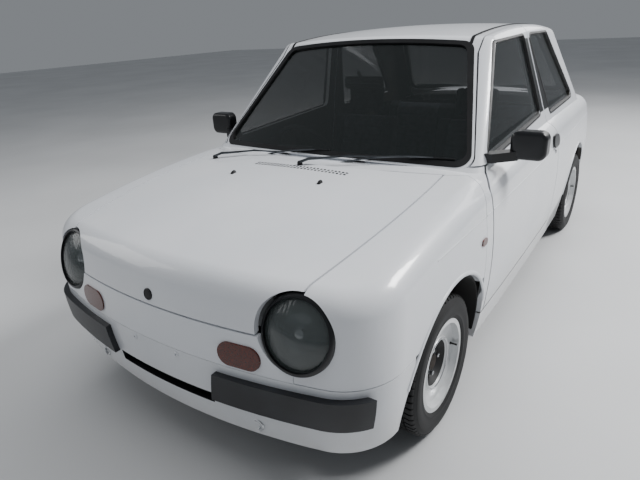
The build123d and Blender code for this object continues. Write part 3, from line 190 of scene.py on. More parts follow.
# Inside: a grained dashboard, vinyl door cards, a pale perforated headliner and needle felt on the floor.
dash_plastic = moulded("grained_dash_abs", "#191919", "#242323", 0.55, 900.0, 0.3)
door_card_vinyl = moulded("door_card_vinyl", "#2B2927", "#37342F", 0.6, 800.0, 0.3)
headliner = moulded("perforated_headliner", "#B7B2A6", "#C6C1B5", 0.85, 500.0, 0.25)
carpet = moulded("needle_felt_carpet", "#1C1B1B", "#2C2A29", 0.95, 260.0, 0.8)
# Below: lumpy bitumen underseal, and tyre rubber, which dust makes greyer than the seals.
underseal = moulded("bitumen_underseal", "#0F0F0F", "#1B1A19", 0.75, 180.0, 0.6)
tyre_rubber = moulded("tyre_rubber", "#141415", "#202021", 0.72, 300.0, 0.2)
print("plastics and rubbers ready")

# %% [markdown]
# ## Glass, lamps and metals
#
# Car glass is toughened soda-lime float glass with a green tint. A thin pane seen at a distance
# hardly bends the view, so a tint with partial alpha and a sharp reflection reads as glass and
# renders without noise. Reflectors are vacuum-aluminised, wheels are sprayed silver-white, the
# chassis is black stove enamel, and cast and brushed metals sit below.

# %% Glass and lamp finishes
def pane(name, tint, alpha):
    """A thin transparent sheet: its reflection is sharp, its tint shows as it covers."""
    glass = new_material(name, Roughness=0.02, IOR=1.52, Specular_IOR_Level=0.9, Alpha=alpha, Coat_Weight=1.0,
                         Coat_Roughness=0.02)
    two_tone(*glass[1:], 3.0, tint, tint)
    return glass


window_glass = pane("tinted_float_glass", "#0D1513", 0.44)[0]
# Pressed flutes 13 mm apart spread the beam sideways, and break up the view of the reflector.
# The lens's grey tint is painted shade: it stands for the dark inside of the unlit lamp.
lens_glass, lens_tree, lens_shader, lens_place = pane("pressed_lens_glass", "#5B6362", 0.36)
flutes = add_node(lens_tree, "ShaderNodeTexWave", {"Vector": lens_place, "Scale": 24.0, "Distortion": 0.0},
                  bands_direction="X")
flute_bump = add_node(lens_tree, "ShaderNodeBump", {"Height": flutes.outputs["Fac"], "Strength": 0.35,
                                                    "Distance": 0.002})
lens_tree.links.new(flute_bump.outputs["Normal"], lens_shader.inputs["Normal"])


def coloured_lens(name, dark, light):
    """Moulded acrylic over a dark lamp: the colour is deep, with a prism pattern of 4 mm behind it."""
    material, tree, shader, place = new_material(name, Roughness=0.16, IOR=1.49, Coat_Weight=0.25,
                                                 Coat_Roughness=0.05)
    cells = add_node(tree, "ShaderNodeTexVoronoi", {"Vector": place, "Scale": 220.0})
    ramp = add_node(tree, "ShaderNodeValToRGB", {"Fac": cells.outputs["Distance"]})
    ramp.color_ramp.elements[0].color, ramp.color_ramp.elements[1].color = linear(dark), linear(light)
    tree.links.new(ramp.outputs["Color"], shader.inputs["Base Color"])
    return material


# The amber is painted deep brown: painted shade from the dark inside of the unlit lamp.
amber_acrylic = coloured_lens("amber_acrylic", "#260700", "#661A00")
red_acrylic = coloured_lens("red_acrylic", "#5B0508", "#A9141A")
print("glass and lenses ready")

# %% Metals
def metal(name, dark, light, rough, metallic, grit=600.0, strength=0.1):
    """A metal or metallic finish that drifts between two tones."""
    material, tree, shader, place = new_material(name, Roughness=rough, Metallic=metallic)
    two_tone(tree, shader, place, 9.0, dark, light)
    grain(tree, shader, place, grit, strength, 0.0003)
    return material


# Aluminised faces mirror sharply; the lamps' own are painted dark grey instead, a painted shade for the dark
# inside of the unlit lamps.
reflector_metal = metal("aluminised_reflector", "#C9CDD2", "#EDEFF1", 0.06, 1.0, 90.0, 0.05)
shaded_lamp_reflector_metal = metal("aged_lamp_reflector", "#41464A", "#868C90", 0.12, 1.0, 90.0, 0.05)
# Silver enamel sparkles faintly, and black stove enamel hides the chassis.
wheel_enamel = metal("silver_wheel_enamel", "#C9CBCC", "#DEDFE0", 0.3, 0.35)
chassis_enamel = metal("black_chassis_enamel", "#101011", "#1C1B1A", 0.55, 0.1, 200.0, 0.3)
# Bare metals: rusty iron, grey cast aluminium, steel dulled by heat, and bright plated steel.
cast_iron = metal("cast_iron", "#2A2725", "#433A33", 0.7, 0.7, 400.0, 0.5)
cast_alloy = metal("cast_aluminium", "#6F7173", "#8E9092", 0.45, 0.9, 300.0, 0.4)
exhaust_steel = metal("heat_dulled_steel", "#5C5751", "#87817A", 0.42, 0.9, 500.0, 0.2)
bright_steel = metal("plated_steel", "#B8BABC", "#D4D6D8", 0.22, 1.0)
print("metals ready")

# %% [markdown]
# ## Dressing the CAD nodes
#
# A CAD node arrives as loose triangles, flat-shaded. Its mesh is never changed, so each visible
# node gets a copy whose doubles are merged. Then its round faces can be shaded smooth, while every
# edge over 30 degrees stays sharp. Faces that look into the cabin take the trim's material instead
# of paint, which is how one solid wall shows both its skin and its lining.

# %% Copy, merge, shade
def settle(piece, materials, body, crease=30.0):
    """Gives a piece its materials and smooth shading and lets it ride on its body."""
    for material in materials:
        piece.data.materials.append(material)
    piece.data.shade_smooth()
    piece.data.set_sharp_from_angle(angle=math.radians(crease))
    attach(piece, body)
    return piece


def new_piece(name, data):
    """An object for a mesh, a light or a camera, at the origin and in the scene."""
    piece = bpy.data.objects.new(name, data)
    bpy.context.scene.collection.objects.link(piece)
    return piece


def link_mesh(name, points, faces):
    """A new object at the origin from points and faces, closed up and facing outwards."""
    mesh = bpy.data.meshes.new(name)
    mesh.from_pydata([tuple(p) for p in points], [], faces)
    work = bmesh.new()
    work.from_mesh(mesh)
    bmesh.ops.remove_doubles(work, verts=work.verts, dist=1e-6)
    bmesh.ops.recalc_face_normals(work, faces=work.faces)
    work.to_mesh(mesh)
    work.free()
    return new_piece(name, mesh)


def merged_copy(node, name):
    """The node's shape as a fresh mesh whose triangles share their corners."""
    work = bmesh.new()
    work.from_mesh(frame["nodes"][node].data)
    bmesh.ops.remove_doubles(work, verts=work.verts, dist=2e-5)
    mesh = bpy.data.meshes.new(name)
    points = [v.co.copy() for v in work.verts]
    work.verts.index_update()
    mesh.from_pydata(points, [], [[v.index for v in f.verts] for f in work.faces])
    work.free()
    return new_piece(name, mesh)


cabin_middle, facing_in = Vector((0.0, 0.25, 0.85)), -0.35


def dress(node, outside, inside=None, crease=30.0):
    """A dressed copy that stands for the node; faces turned to the cabin's middle take the lining."""
    piece = merged_copy(node, node + ".dressed")
    settle(piece, [outside, inside] if inside else [outside], body_of[node], crease)
    if inside:
        for face in piece.data.polygons:
            away = (face.center - cabin_middle).normalized()
            if face.normal.dot(away) < facing_in:
                face.material_index = 1
    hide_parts(node)
    return piece


for node in ("bonnet", "front_panel", "wing_left", "wing_right", "rear_deck", "boot_lid", "rear_panel"):
    dress(node, enamel)
bumper = dress("front_bumper", bumper_enamel)
dress("rear_bumper", bumper_enamel)
# The walls of the slot under the plate take the black pad plastic as painted shade, for the shade inside the
# slot: its half width, lower and upper edge, and depth.
slot_half, slot_low, slot_high, slot_back, level_face = 0.238, 0.333, 0.383, -1.6, 0.6
bumper.data.materials.append(pad_plastic)
for face in bumper.data.polygons:
    x, y, z = face.center
    if abs(x) < slot_half and slot_low < z < slot_high and y < slot_back and abs(face.normal.y) < level_face:
        face.material_index = 1
for node in ("door_left", "door_right", "side_left", "side_right"):
    dress(node, enamel, door_card_vinyl)
dress("roof", enamel, headliner)
dress("windscreen_frame", enamel, dash_plastic)
print("painted panels dressed")

# %% The other CAD nodes
dress("floor_pan", underseal, carpet)
finishes = (
    (underseal, "front_structure"), (cast_alloy, "engine_block"),
    (chassis_enamel, "front_suspension rear_axle fuel_tank"), (cast_iron, "knuckle_left knuckle_right"),
    (exhaust_steel, "exhaust"), (seal_rubber, "weather_strips"), (ring_plastic, "headlamp_rings"),
    (shaded_lamp_reflector_metal, "headlamp_reflectors"), (lens_glass, "headlamp_lenses"), (amber_acrylic, "turn_signals"),
    (red_acrylic, "tail_lamps"), (window_glass, "windscreen rear_windows door_glass_left door_glass_right"),
    (dash_plastic, "dashboard steering_wheel"), (pad_plastic, "bumper_pads"),
    (ring_plastic, "mirror_left mirror_right handle_left handle_right"),
)
for finish, nodes in finishes:
    for node in nodes.split():
        dress(node, finish)
print("fittings dressed in", len(finishes), "rows of finishes")

# %% [markdown]
# ## Feeling for the surface
#
# Seals, wipers and seams must lie on the body exactly. Instead of typing their heights, rays are
# cast onto the CAD panels, and each trim piece is drawn through the points that they hit.

# %% Ray casting onto the body
skin_nodes = ("bonnet windscreen_frame roof door_left door_right side_left side_right wing_left wing_right "
              "front_panel front_bumper rear_deck boot_lid rear_panel rear_bumper windscreen rear_windows "
              "door_glass_left door_glass_right").split()


def tree_of(nodes):
    """One search tree over several CAD nodes."""
    points, faces = [], []
    for node in nodes:
        mesh = frame["nodes"][node].data
        first = len(points)
        points += [v.co.copy() for v in mesh.vertices]
        faces += [[first + i for i in f.vertices] for f in mesh.polygons]
    return BVHTree.FromPolygons(points, faces)


skin = tree_of(skin_nodes)


def cast(origin, direction, tree=skin):
    """Where a ray meets the skin, and the way that the skin faces there."""
    return tree.ray_cast(Vector(origin), Vector(direction))[:2]


def from_side(y, z, side):
    return cast((side * 2.0, y, z), (-side, 0, 0))


def from_top(x, y, tree=skin):
    return cast((x, y, 3.0), (0, 0, -1), tree)


def from_front(x, z, end=-1, tree=skin):
    """A ray from ahead of the car, or from behind it where end is 1."""
    return cast((x, end * 3.0, z), (0, -end, 0), tree)


print("bonnet at the middle is", round(from_top(0, -1.2)[0].z, 3), "m high")

# %% Trim that follows a path on the surface
def ring_faces(layers, width, first=0, closed=False):
    """Quads between rings of points that follow each other; closed joins the last ring to the first."""
    faces = []
    for i in range(layers if closed else layers - 1):
        low, high = first + i * width, first + (i + 1) % layers * width
        faces += [[low + k, low + (k + 1) % width, high + (k + 1) % width, high + k] for k in range(width)]
    return faces


def end_faces(layers, width, first=0):
    """The two end faces of a row of rings."""
    last = first + (layers - 1) * width
    return [list(range(first, first + width))[::-1], list(range(last, last + width))]


def bead(name, path, profile, body, crease=60):
    """Sweeps a painted section along path, rows of (place, normal). profile is (across, proud) pairs."""
    points = []
    for i, (place, normal) in enumerate(path):
        before, after = path[max(i - 1, 0)][0], path[min(i + 1, len(path) - 1)][0]
        across = (after - before).normalized().cross(normal).normalized()
        points += [place + across * a + normal * h for a, h in profile]
    faces = ring_faces(len(path), len(profile)) + end_faces(len(path), len(profile))
    return settle(link_mesh(name, points, faces), [enamel], body, crease)


def half_round(width, height, sink=0.002):
    """A low rounded section that sits on the surface and reaches a little into it."""
    arc = [(width / 2 * math.cos(a), height * math.sin(a)) for a in [math.pi * k / 6 for k in range(7)]]
    return arc + [(-width / 2, -sink), (width / 2, -sink)]


def on_flank(rows, side):
    """The rows of (place, normal) that lie on the car's flank."""
    return [(place, normal) for place, normal in rows if place is not None and normal.x * side > 0.5]


sides = ((1, "left"), (-1, "right"))
crease_z, crease_step = 0.757, 0.03
for side, word in sides:
    for piece, node, y_from, y_to in (
            ("wing", f"wing_{word}", -1.29, -0.854), ("post", "windscreen_frame", -0.842, -0.776),
            ("door", f"door_{word}", -0.762, 0.392), ("side", f"side_{word}", 0.41, 1.6)):
        steps = max(3, int((y_to - y_from) / crease_step))
        rows = [from_side(y_from + (y_to - y_from) * i / steps, crease_z, side) for i in range(steps + 1)]
        bead(f"crease_{piece}_{word}", on_flank(rows, side), half_round(0.007, 0.0016), body_of[node])
print("side creases drawn")

# %% Rolled lips round the wheel arches
axle_height, lip_offset = 0.266, 0.009
arch_rows = (("front", -1.1495, 0.352, 22, 160), ("rear", 1.1625, 0.345, 14, 166))  # end, y, radius, degrees
for side, word in sides:
    for end, arch_y, arch_radius, first, last in arch_rows:
        reach, rows = arch_radius + lip_offset, []
        for angle in [math.radians(degree) for degree in range(first, last + 1, 3)]:
            y, z = arch_y - reach * math.cos(angle), axle_height + reach * math.sin(angle)
            rows.append(from_side(y, z, side))
        bead(f"arch_lip_{end}_{word}", on_flank(rows, side), half_round(0.016, 0.0045), "body")
print("arch lips drawn")

# %% [markdown]
# ## Window seals
#
# A side window sits in a black rubber channel: one lip lies on the painted frame, the other on the
# glass 10 mm deeper. The channel is drawn round the opening's outline with its corners rounded, its
# outer lip cast onto the frame and its inner lip onto the glass.

# %% Seals round the side windows
def rounded_outline(corners, radius, spacing=0.012):
    """Points along a closed outline of (y, z) with its corners rounded."""
    points = []
    for i, corner in enumerate(corners):
        here = Vector(corner)
        to_before = Vector(corners[i - 1]) - here
        to_after = Vector(corners[(i + 1) % len(corners)]) - here
        half = to_before.angle(to_after) / 2
        reach = min(radius / math.tan(half), 0.45 * to_before.length, 0.45 * to_after.length)
        start, stop = here + to_before.normalized() * reach, here + to_after.normalized() * reach
        for t in [k / 6 for k in range(7)]:
            points.append((1 - t) ** 2 * start + 2 * t * (1 - t) * here + t * t * stop)
    dense = []
    for point, after in zip(points, points[1:] + points[:1]):
        pieces = max(1, int((after - point).length / spacing))
        dense += [point.lerp(after, k / pieces) for k in range(pieces)]
    return dense


def channel(name, corners, side, body, radius=0.028, lip=0.011, inner=0.007):
    """A rubber channel round a side window, lip wide on the frame and inner wide on the glass."""
    outline = rounded_outline(corners, radius)
    middle = sum(outline, Vector((0, 0))) / len(outline)
    section = ((lip, 0.0), (lip - 0.001, 0.0022), (0.001, 0.003), (-inner, 0.0), (-inner, -0.002))
    lip_depth, root_depth = 0.003, 0.012
    points = []
    for i, point in enumerate(outline):
        along = (outline[(i + 1) % len(outline)] - outline[i - 1]).normalized()
        outward = Vector((along.y, -along.x))
        if outward.dot(point - middle) < 0:
            outward = -outward
        rows = []
        for shift, proud in section:
            place = point + outward * shift
            hit = from_side(*place, side)[0]
            if shift < 0 or hit is None:
                hit = from_side(*(point - outward * inner), side)[0]
            rows.append(Vector((hit.x + side * proud, *place)))
        frame_x = rows[1].x - side * section[1][1]
        rows.append(Vector((frame_x - side * root_depth, *point)))
        rows.append(Vector((frame_x - side * lip_depth, *(point + outward * lip))))
        points += rows
    faces = ring_faces(len(outline), len(rows), closed=True)
    return settle(link_mesh(name, points, faces), [seal_rubber], body, 50)


door_window = [(-0.63, 0.905), (-0.243, 1.33), (0.186, 1.34), (0.258, 0.95)]
quarter_window = [(0.47, 0.925), (0.29, 1.34), (0.7, 1.335), (1.15, 0.93)]
for side, word in sides:
    channel(f"door_seal_{word}", door_window, side, f"door_{word}")
    channel(f"quarter_seal_{word}", quarter_window, side, "body")
print("side window seals drawn")

# %% [markdown]
# ## The black pillar band
#
# Between the two side windows the pillar is covered by satin black film, so that the panes read as
# one dark band. It is a thin sheet draped on the paint by casting a grid of rays.

# %% Film on the pillar
def slab(name, front, across, up, back, material, body, crease):
    """A thin sheet: a grid of points, the same grid moved by back, and the rim between them."""
    wide, lift = across + 1, len(front)
    faces = []
    for j in range(up):
        for i in range(across):
            a = j * wide + i
            faces.append([a, a + 1, a + wide + 1, a + wide])
            faces.append([lift + a, lift + a + wide, lift + a + wide + 1, lift + a + 1])
    rim = list(range(across)) + [across + wide * j for j in range(up)]
    rim += [wide * up + i for i in range(across, 0, -1)] + [wide * j for j in range(up, 0, -1)]
    faces += [[a, b, lift + b, lift + a] for a, b in zip(rim, rim[1:] + rim[:1])]
    return settle(link_mesh(name, front + [p + back for p in front], faces), [material], body, crease)


film = moulded("satin_pillar_film", "#131416", "#1A1B1D", 0.34, 300.0, 0.05)
film_proud, film_sink, film_across, film_up = 0.0007, 0.0006, 6, 14
film_bottom, film_top = 0.955, 1.325
film_rows = (("door", (0.27, 0.33), (0.198, 0.252)), ("side", (0.35, 0.452), (0.272, 0.286)))
for side, word in sides:
    for part, low, high in film_rows:
        front = []
        for j in range(film_up + 1):
            share = j / film_up
            y_from, y_to = [low[m] + (high[m] - low[m]) * share for m in (0, 1)]
            z = film_bottom + (film_top - film_bottom) * share
            for i in range(film_across + 1):
                y = y_from + (y_to - y_from) * i / film_across
                front.append(Vector((from_side(y, z, side)[0].x + side * film_proud, y, z)))
        back = Vector((-side * (film_proud + film_sink), 0, 0))
        slab(f"pillar_film_{part}_{word}", front, film_across, film_up, back, film,
             f"door_{word}" if part == "door" else "body", 50)
print("pillar film laid")

# %% [markdown]
# ## Tyres and wheels
#
# A radial tyre is a lathe's work, but its tread is one pitch repeated round the belt. The carcass is
# turned from the profile of the CAD tyre, sunk by the depth of the grooves. One pitch of rubber
# blocks is modelled at the top, and a Geometry Nodes tree repeats it 62 times. The same tree sets
# the four wheel nuts.

# %% A tree that repeats a piece round a wheel
def start_tree(name, inputs):
    """A Geometry Nodes tree with named inputs, and the sockets that they arrive by."""
    tree = bpy.data.node_groups.new(name, "GeometryNodeTree")
    for title, kind in inputs.items():
        tree.interface.new_socket(title, in_out="INPUT", socket_type="NodeSocket" + kind)
    tree.interface.new_socket("Result", in_out="OUTPUT", socket_type="NodeSocketGeometry")
    return tree, add_node(tree, "NodeGroupInput").outputs


def end_tree(tree, given, points, rotation):
    """Sets the input geometry on points, makes the copies real and gives them their material."""
    copies = add_node(tree, "GeometryNodeInstanceOnPoints", {
        "Points": points.outputs[0], "Rotation": rotation.outputs[0], "Instance": given["Geometry"]})
    real = add_node(tree, "GeometryNodeRealizeInstances", {"Geometry": copies.outputs[0]})
    finish = add_node(tree, "GeometryNodeSetMaterial", {
        "Geometry": real.outputs[0], "Material": given["Material"]})
    add_node(tree, "NodeGroupOutput", {"Result": finish.outputs[0]})
    return tree


def ring_tree():
    """A node tree that repeats its geometry round the X axis."""
    inputs = {"Geometry": "Geometry", "Count": "Int", "Material": "Material"}
    tree, given = start_tree("ring_of_pieces", inputs)
    points = add_node(tree, "GeometryNodePoints", {"Count": given["Count"]})
    pitch = add_node(tree, "ShaderNodeMath", {0: math.tau, 1: given["Count"]}, operation="DIVIDE")
    index = add_node(tree, "GeometryNodeInputIndex")
    turn = add_node(tree, "ShaderNodeMath", {0: pitch.outputs[0], 1: index.outputs[0]}, operation="MULTIPLY")
    angles = add_node(tree, "ShaderNodeCombineXYZ", {"X": turn.outputs[0]})
    rotation = add_node(tree, "FunctionNodeEulerToRotation", {0: angles.outputs[0]})
    return end_tree(tree, given, points, rotation)


def keep_result(piece, modifier):
    """Replaces the piece's mesh by what its modifier makes, and takes the modifier off."""
    graph = bpy.context.evaluated_depsgraph_get()
    made = bpy.data.meshes.new_from_object(piece.evaluated_get(graph), depsgraph=graph)
    piece.modifiers.remove(modifier)
    piece.data = made
    return piece


def grow(piece, tree, inputs):
    """Puts a node tree on a piece with its named inputs set, and keeps the mesh that it makes."""
    modifier = piece.modifiers.new(tree.name, "NODES")
    modifier.node_group = tree
    for socket in tree.interface.items_tree:
        if socket.in_out == "INPUT" and socket.name in inputs:
            modifier[socket.identifier] = inputs[socket.name]
    return keep_result(piece, modifier)


ring_of_pieces = ring_tree()
print("ring tree has", len(ring_of_pieces.nodes), "nodes")

# %% Turned pieces and the tyre's carcass
def turned(name, profile, place=(0, 0, 0), axis=(1, 0, 0), steps=48):
    """Turns a closed profile of (along, radius) pairs about an axis through a place."""
    lean = Vector(axis).normalized().to_track_quat("Z", "Y")
    points = []
    for angle in [math.tau * i / steps for i in range(steps)]:
        points += [Vector(place) + lean @ Vector((r * math.cos(angle), r * math.sin(angle), a))
                   for a, r in profile]
    return link_mesh(name, points, ring_faces(steps, len(profile), closed=True))


tread_base = axle_height - 0.0072  # a tyre's radius less its groove depth
side_wall = [(0.069, 0.1785), (0.0722, 0.186), (0.0738, 0.1905), (0.0744, 0.192), (0.0738, 0.1935),
             (0.0752, 0.206), (0.0768, 0.218), (0.0775, 0.2275), (0.0762, 0.237), (0.0752, 0.24),
             (0.0756, 0.2412), (0.0742, 0.2425), (0.0712, 0.2485), (0.0672, 0.2545), (0.061, 0.2578)]
outer_half = side_wall + [(0.04, tread_base), (0.0, tread_base + 0.0006)]
inner_wall = [(-0.06, 0.172), (0.06, 0.172)]
carcass = turned("carcass", outer_half + [(-a, r) for a, r in outer_half[:-1][::-1]] + inner_wall, steps=96)
print("carcass has", len(carcass.data.polygons), "faces")

# %% One pitch of tread, and the ring of them
tread_pitches = 62
pitch_angle = math.tau / tread_pitches
block_sections = [  # (across, radius) pairs, half the length in pitches, skew in radians per metre
    ([(-0.0075, 0.2575), (-0.007, 0.266), (0.007, 0.266), (0.0075, 0.2575)], 0.42, 6.0),
    ([(0.012, 0.2575), (0.0125, 0.266), (0.0285, 0.266), (0.029, 0.2575)], 0.38, 2.2),
    ([(0.0335, 0.2575), (0.034, 0.2659), (0.057, 0.2656), (0.0625, 0.2636), (0.0662, 0.259),
      (0.0672, 0.254), (0.06, 0.253)], 0.36, 0.8),
]
points, faces = [], []
for section, share, skew in block_sections:
    for side in ((1,) if section[0][0] < 0 else (1, -1)):
        first, width, shift = len(points), len(section), 0.5 * pitch_angle if side < 0 else 0
        for step in (-1.0, 0.0, 1.0):
            for across, radius in section:
                angle = pitch_angle * share * step + skew * across * side + shift
                points.append((side * across, -radius * math.sin(angle), radius * math.cos(angle)))
        faces += ring_faces(3, width, first) + end_faces(3, width, first)
tread = grow(link_mesh("tread_pitch", points, faces), ring_of_pieces,
             {"Count": tread_pitches, "Material": tyre_rubber})
print("tread has", len(tread.data.polygons), "faces in", tread_pitches, "pitches")

# %% Wheel nuts, valve and the bright lip of the dish
nut_circle, valve_radius = 0.049, 0.148
nut = turned("nut", [(0.0135, 0.0), (0.0135, 0.01), (0.0165, 0.0112), (0.0175, 0.0095), (0.0285, 0.0095),
                     (0.0305, 0.0072), (0.0305, 0.0)], (0, 0, nut_circle), steps=6)
nuts = grow(nut, ring_of_pieces, {"Count": 4, "Material": bright_steel})
lip = turned("lip", [(0.044, 0.0935), (0.0462, 0.0925), (0.0478, 0.0945), (0.0478, 0.0985), (0.0462, 0.1005),
                     (0.044, 0.0995)])
valve = turned("valve", [(0.034, 0.0), (0.034, 0.0065), (0.039, 0.0058), (0.042, 0.0038), (0.058, 0.0036),
                         (0.0585, 0.0042), (0.063, 0.0042), (0.0635, 0.0)], (0, valve_radius, 0), steps=14)
print("nuts", len(nuts.data.polygons), "faces")

# %% Each wheel in its place
# Painted shade: the middle of each rim, that the bright dish frames, is made black for the shade in its
# hollow; the badge face takes this dark colour as its own.
centre_shade_and_badge_black = moulded("hub_cast_black", "#1A1A1B", "#262627", 0.6, 300.0, 0.3)
dish_radius = 0.089


def placed_copy(source, name, centre, side, materials, body, crease=35.0):
    """A copy of a piece moved to a centre, mirrored for the right side."""
    mesh = source.data.copy()
    mesh.transform(Matrix.Translation(centre) @ Matrix.Diagonal((side, 1, 1, 1)))
    if side < 0:
        mesh.flip_normals()
    return settle(new_piece(name, mesh), materials, body, crease)


for end in ("front", "rear"):
    for side, word in sides:
        key = f"{end}_{word}"
        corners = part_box(f"tyre_{key}")
        centre = (corners[0] + corners[1]) / 2
        for source, title, finish, slot in ((carcass, "tyre_carcass", [tyre_rubber], "tyre_rubber"),
                                            (tread, "tyre_tread", [], "tyre_rubber"),
                                            (nuts, "wheel_nuts", [], "wheel_steel"),
                                            (lip, "wheel_lip", [bright_steel], "wheel_steel"),
                                            (valve, "tyre_valve", [seal_rubber], "tyre_rubber")):
            piece = placed_copy(source, f"{title}_{key}", centre, side, finish, f"wheel_{key}")
            if source is carcass:
                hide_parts(f"tyre_{key}")
        rim = dress(f"rim_{key}", wheel_enamel, crease=35)
        rim.data.materials.append(centre_shade_and_badge_black)
        # Faces near the axis take the black as painted shade.
        for face in rim.data.polygons:
            if (face.center - centre).yz.length < dish_radius:
                face.material_index = 1
for source in (carcass, tread, nuts, lip, valve):
    bpy.data.objects.remove(source)
print("four wheels dressed")

# %% [markdown]
# ## Seats
#
# Each seat is foam under a woven cloth cover. The cover starts as a slightly smaller form of the
# CAD solid, is remeshed into even squares and blown up by a cloth simulation with inner pressure, so
# that it crowns in the middle and its sides pull in between the corners. No point may move further
# than a cap, which keeps the cushion inside the space of its solid. Then the sewn channels are
# pressed into it, and the seat's plinth, recliner knobs and the head restraint's posts are added.

# %% Woven cloth
def woven(name, dark, light, wave_scale):
    """A plain weave: fine waves cross in three directions over a drifting colour."""
    material, tree, shader, place = new_material(name, Roughness=0.92, Sheen_Weight=0.35, Sheen_Roughness=0.4)
    shader.inputs["Sheen Tint"].default_value = linear("#8C9098")
    two_tone(tree, shader, place, 30.0, dark, light)
    warp, weft, rise = [add_node(tree, "ShaderNodeTexWave", {"Vector": place, "Scale": wave_scale},
                                 bands_direction=way).outputs["Fac"] for way in "XYZ"]
    crossed = add_node(tree, "ShaderNodeMath", {0: warp, 1: weft}, operation="MAXIMUM")
    all_ways = add_node(tree, "ShaderNodeMath", {0: crossed.outputs[0], 1: rise}, operation="ADD")
    bump = add_node(tree, "ShaderNodeBump", {"Height": all_ways.outputs[0], "Strength": 0.5,
                                             "Distance": 0.0006})
    tree.links.new(bump.outputs["Normal"], shader.inputs["Normal"])
    return material


# Real threads are 1 mm apart, too fine to show; they are drawn 7 and 10 mm apart, so that both the
# dark sides and the lighter inserts read as cloth.
side_cloth = woven("seat_side_cloth", "#24262B", "#32353B", 45.0)
insert_cloth = woven("seat_insert_cloth", "#43474F", "#565B64", 30.0)
print("two cloths woven")

# %% A stuffed cover from a side outline
def stuffed(name, outline, half, cap, cell, inset=0.008):
    """Blows up a prism of (y, z) outline, half wide each side of x = 0, as foam fills a cover."""
    ring = rounded_outline(outline, 0.03, 0.02)
    middle = sum(ring, Vector((0, 0))) / len(ring)
    small = [middle + (p - middle) * (1 - inset / (p - middle).length) for p in ring]
    end_pull, outer, inner = 0.006, half - inset, half - 3 * inset
    points = []
    for x, pull in ((-outer, end_pull), (-inner, 0), (inner, 0), (outer, end_pull)):
        points += [(x, *(middle + (p - middle) * (1 - pull / (p - middle).length))) for p in small]
    piece = link_mesh(name, points, ring_faces(4, len(small)) + end_faces(4, len(small)))
    remesh = piece.modifiers.new("even_cells", "REMESH")
    remesh.mode, remesh.voxel_size = "VOXEL", cell
    keep_result(piece, remesh)
    inflate(piece, cap)
    finer = piece.modifiers.new("finer", "SUBSURF")
    finer.levels = 1
    return keep_result(piece, finer)


def inflate(piece, cap):
    """Lets inner pressure round the cover for 20 frames, then holds each point within the cap."""
    start = [v.co.copy() for v in piece.data.vertices]
    cloth = piece.modifiers.new("cover", "CLOTH")
    cloth.settings.use_pressure = True
    cloth.settings.uniform_pressure_force = 4.0
    cloth.settings.effector_weights.gravity = 0.0
    cloth.settings.quality = 4
    for step in range(1, 21):
        bpy.context.scene.frame_set(step)
    keep_result(piece, cloth)
    bpy.context.scene.frame_set(1)
    for vertex, rest in zip(piece.data.vertices, start):
        move = vertex.co - rest
        if move.length > cap:
            vertex.co = rest + move * (cap / move.length)


def sewn(piece, seams, depth=0.006, width=0.007):
    """Presses seams in: each is a function that gives a point's distance from the thread."""
    pressed = []
    for vertex in piece.data.vertices:
        near = min(seam(vertex.co) for seam in seams)
        pressed.extend(vertex.co - vertex.normal * depth * math.exp(-((near / width) ** 2)))
    piece.data.vertices.foreach_set("co", pressed)


def upholster(piece, node, in_insert):
    for face in piece.data.polygons:
        if in_insert(face.center):
            face.material_index = 1
    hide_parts(node)


print("cover makers ready")

# %% Front seats
seat_x, seat_half, insert_half, rest_half = 0.35, 0.225, 0.135, 0.12
cushion_outline = [(-0.31, 0.33), (-0.3, 0.455), (-0.12, 0.44), (0.15, 0.4), (0.17, 0.31), (-0.1, 0.3)]
back_outline = [(0.12, 0.32), (0.07, 0.43), (0.215, 0.925), (0.3, 0.92), (0.235, 0.4), (0.2, 0.32)]
rest_outline = [(0.225, 0.915), (0.205, 0.96), (0.228, 1.085), (0.3, 1.08), (0.285, 0.915)]
cushion_seams, back_seams = (-0.235, -0.16, -0.085, -0.01, 0.065), (0.52, 0.6, 0.68, 0.76, 0.84)
seat_parts = []
for name, outline, half, cap, cell, way, threads in (
        ("cushion", cushion_outline, seat_half, 0.016, 0.01, 1, cushion_seams),
        ("backrest", back_outline, seat_half, 0.016, 0.01, 2, back_seams),
        ("head_restraint", rest_outline, rest_half, 0.012, 0.009, 2, ())):
    part = stuffed(name, outline, half, cap, cell)
    long_seam = min(insert_half, 0.62 * half)
    seams = [lambda p, at=long_seam: abs(abs(p.x) - at)]
    seams += [lambda p, at=at, way=way: abs(p[way] - at) + max(0, abs(p.x) - insert_half) for at in threads]
    sewn(part, seams)
    seat_parts.append(part)
for side, word in sides:
    for part in seat_parts:
        piece = placed_copy(part, f"{part.name}_{word}", Vector((side * seat_x, 0, 0)), 1,
                            [side_cloth, insert_cloth], "body", crease=180)
        wide = insert_half if part.name != "head_restraint" else 0
        upholster(piece, "front_seats", lambda p: abs(p.x - side * seat_x) < wide)
for part in seat_parts:
    bpy.data.objects.remove(part)
print("front seats covered")

# %% Seat frames: plinth with slides, recliner knobs and head restraint posts
to_left, to_rear, upward = Vector((1, 0, 0)), Vector((0, 1, 0)), Vector((0, 0, 1))


def lofted(name, rings):
    """A closed form through rings of points, each ring with the same count."""
    width = len(rings[0])
    points = [p for ring in rings for p in ring]
    return link_mesh(name, points, ring_faces(len(rings), width) + end_faces(len(rings), width))


def loft(name, rings, material, body="body"):
    """A lofted form with its finish, on its body."""
    return settle(lofted(name, rings), [material], body, 35)


def lathe(name, profile, place, axis, steps, material, body="body", slot="black_plastic"):
    """A turned form with its finish, on its body."""
    return settle(turned(name, profile, place, axis, steps), [material], body)


def rounded_pairs(width, height, radius, steps=4):
    """Pairs round a rectangle with rounded corners, about its middle."""
    pairs = []
    for cx, cy, first in ((1, 1, 0), (-1, 1, 1), (-1, -1, 2), (1, -1, 3)):
        for angle in [math.pi / 2 * (first + k / steps) for k in range(steps + 1)]:
            pairs.append((cx * (width / 2 - radius) + radius * math.cos(angle),
                          cy * (height / 2 - radius) + radius * math.sin(angle)))
    return pairs


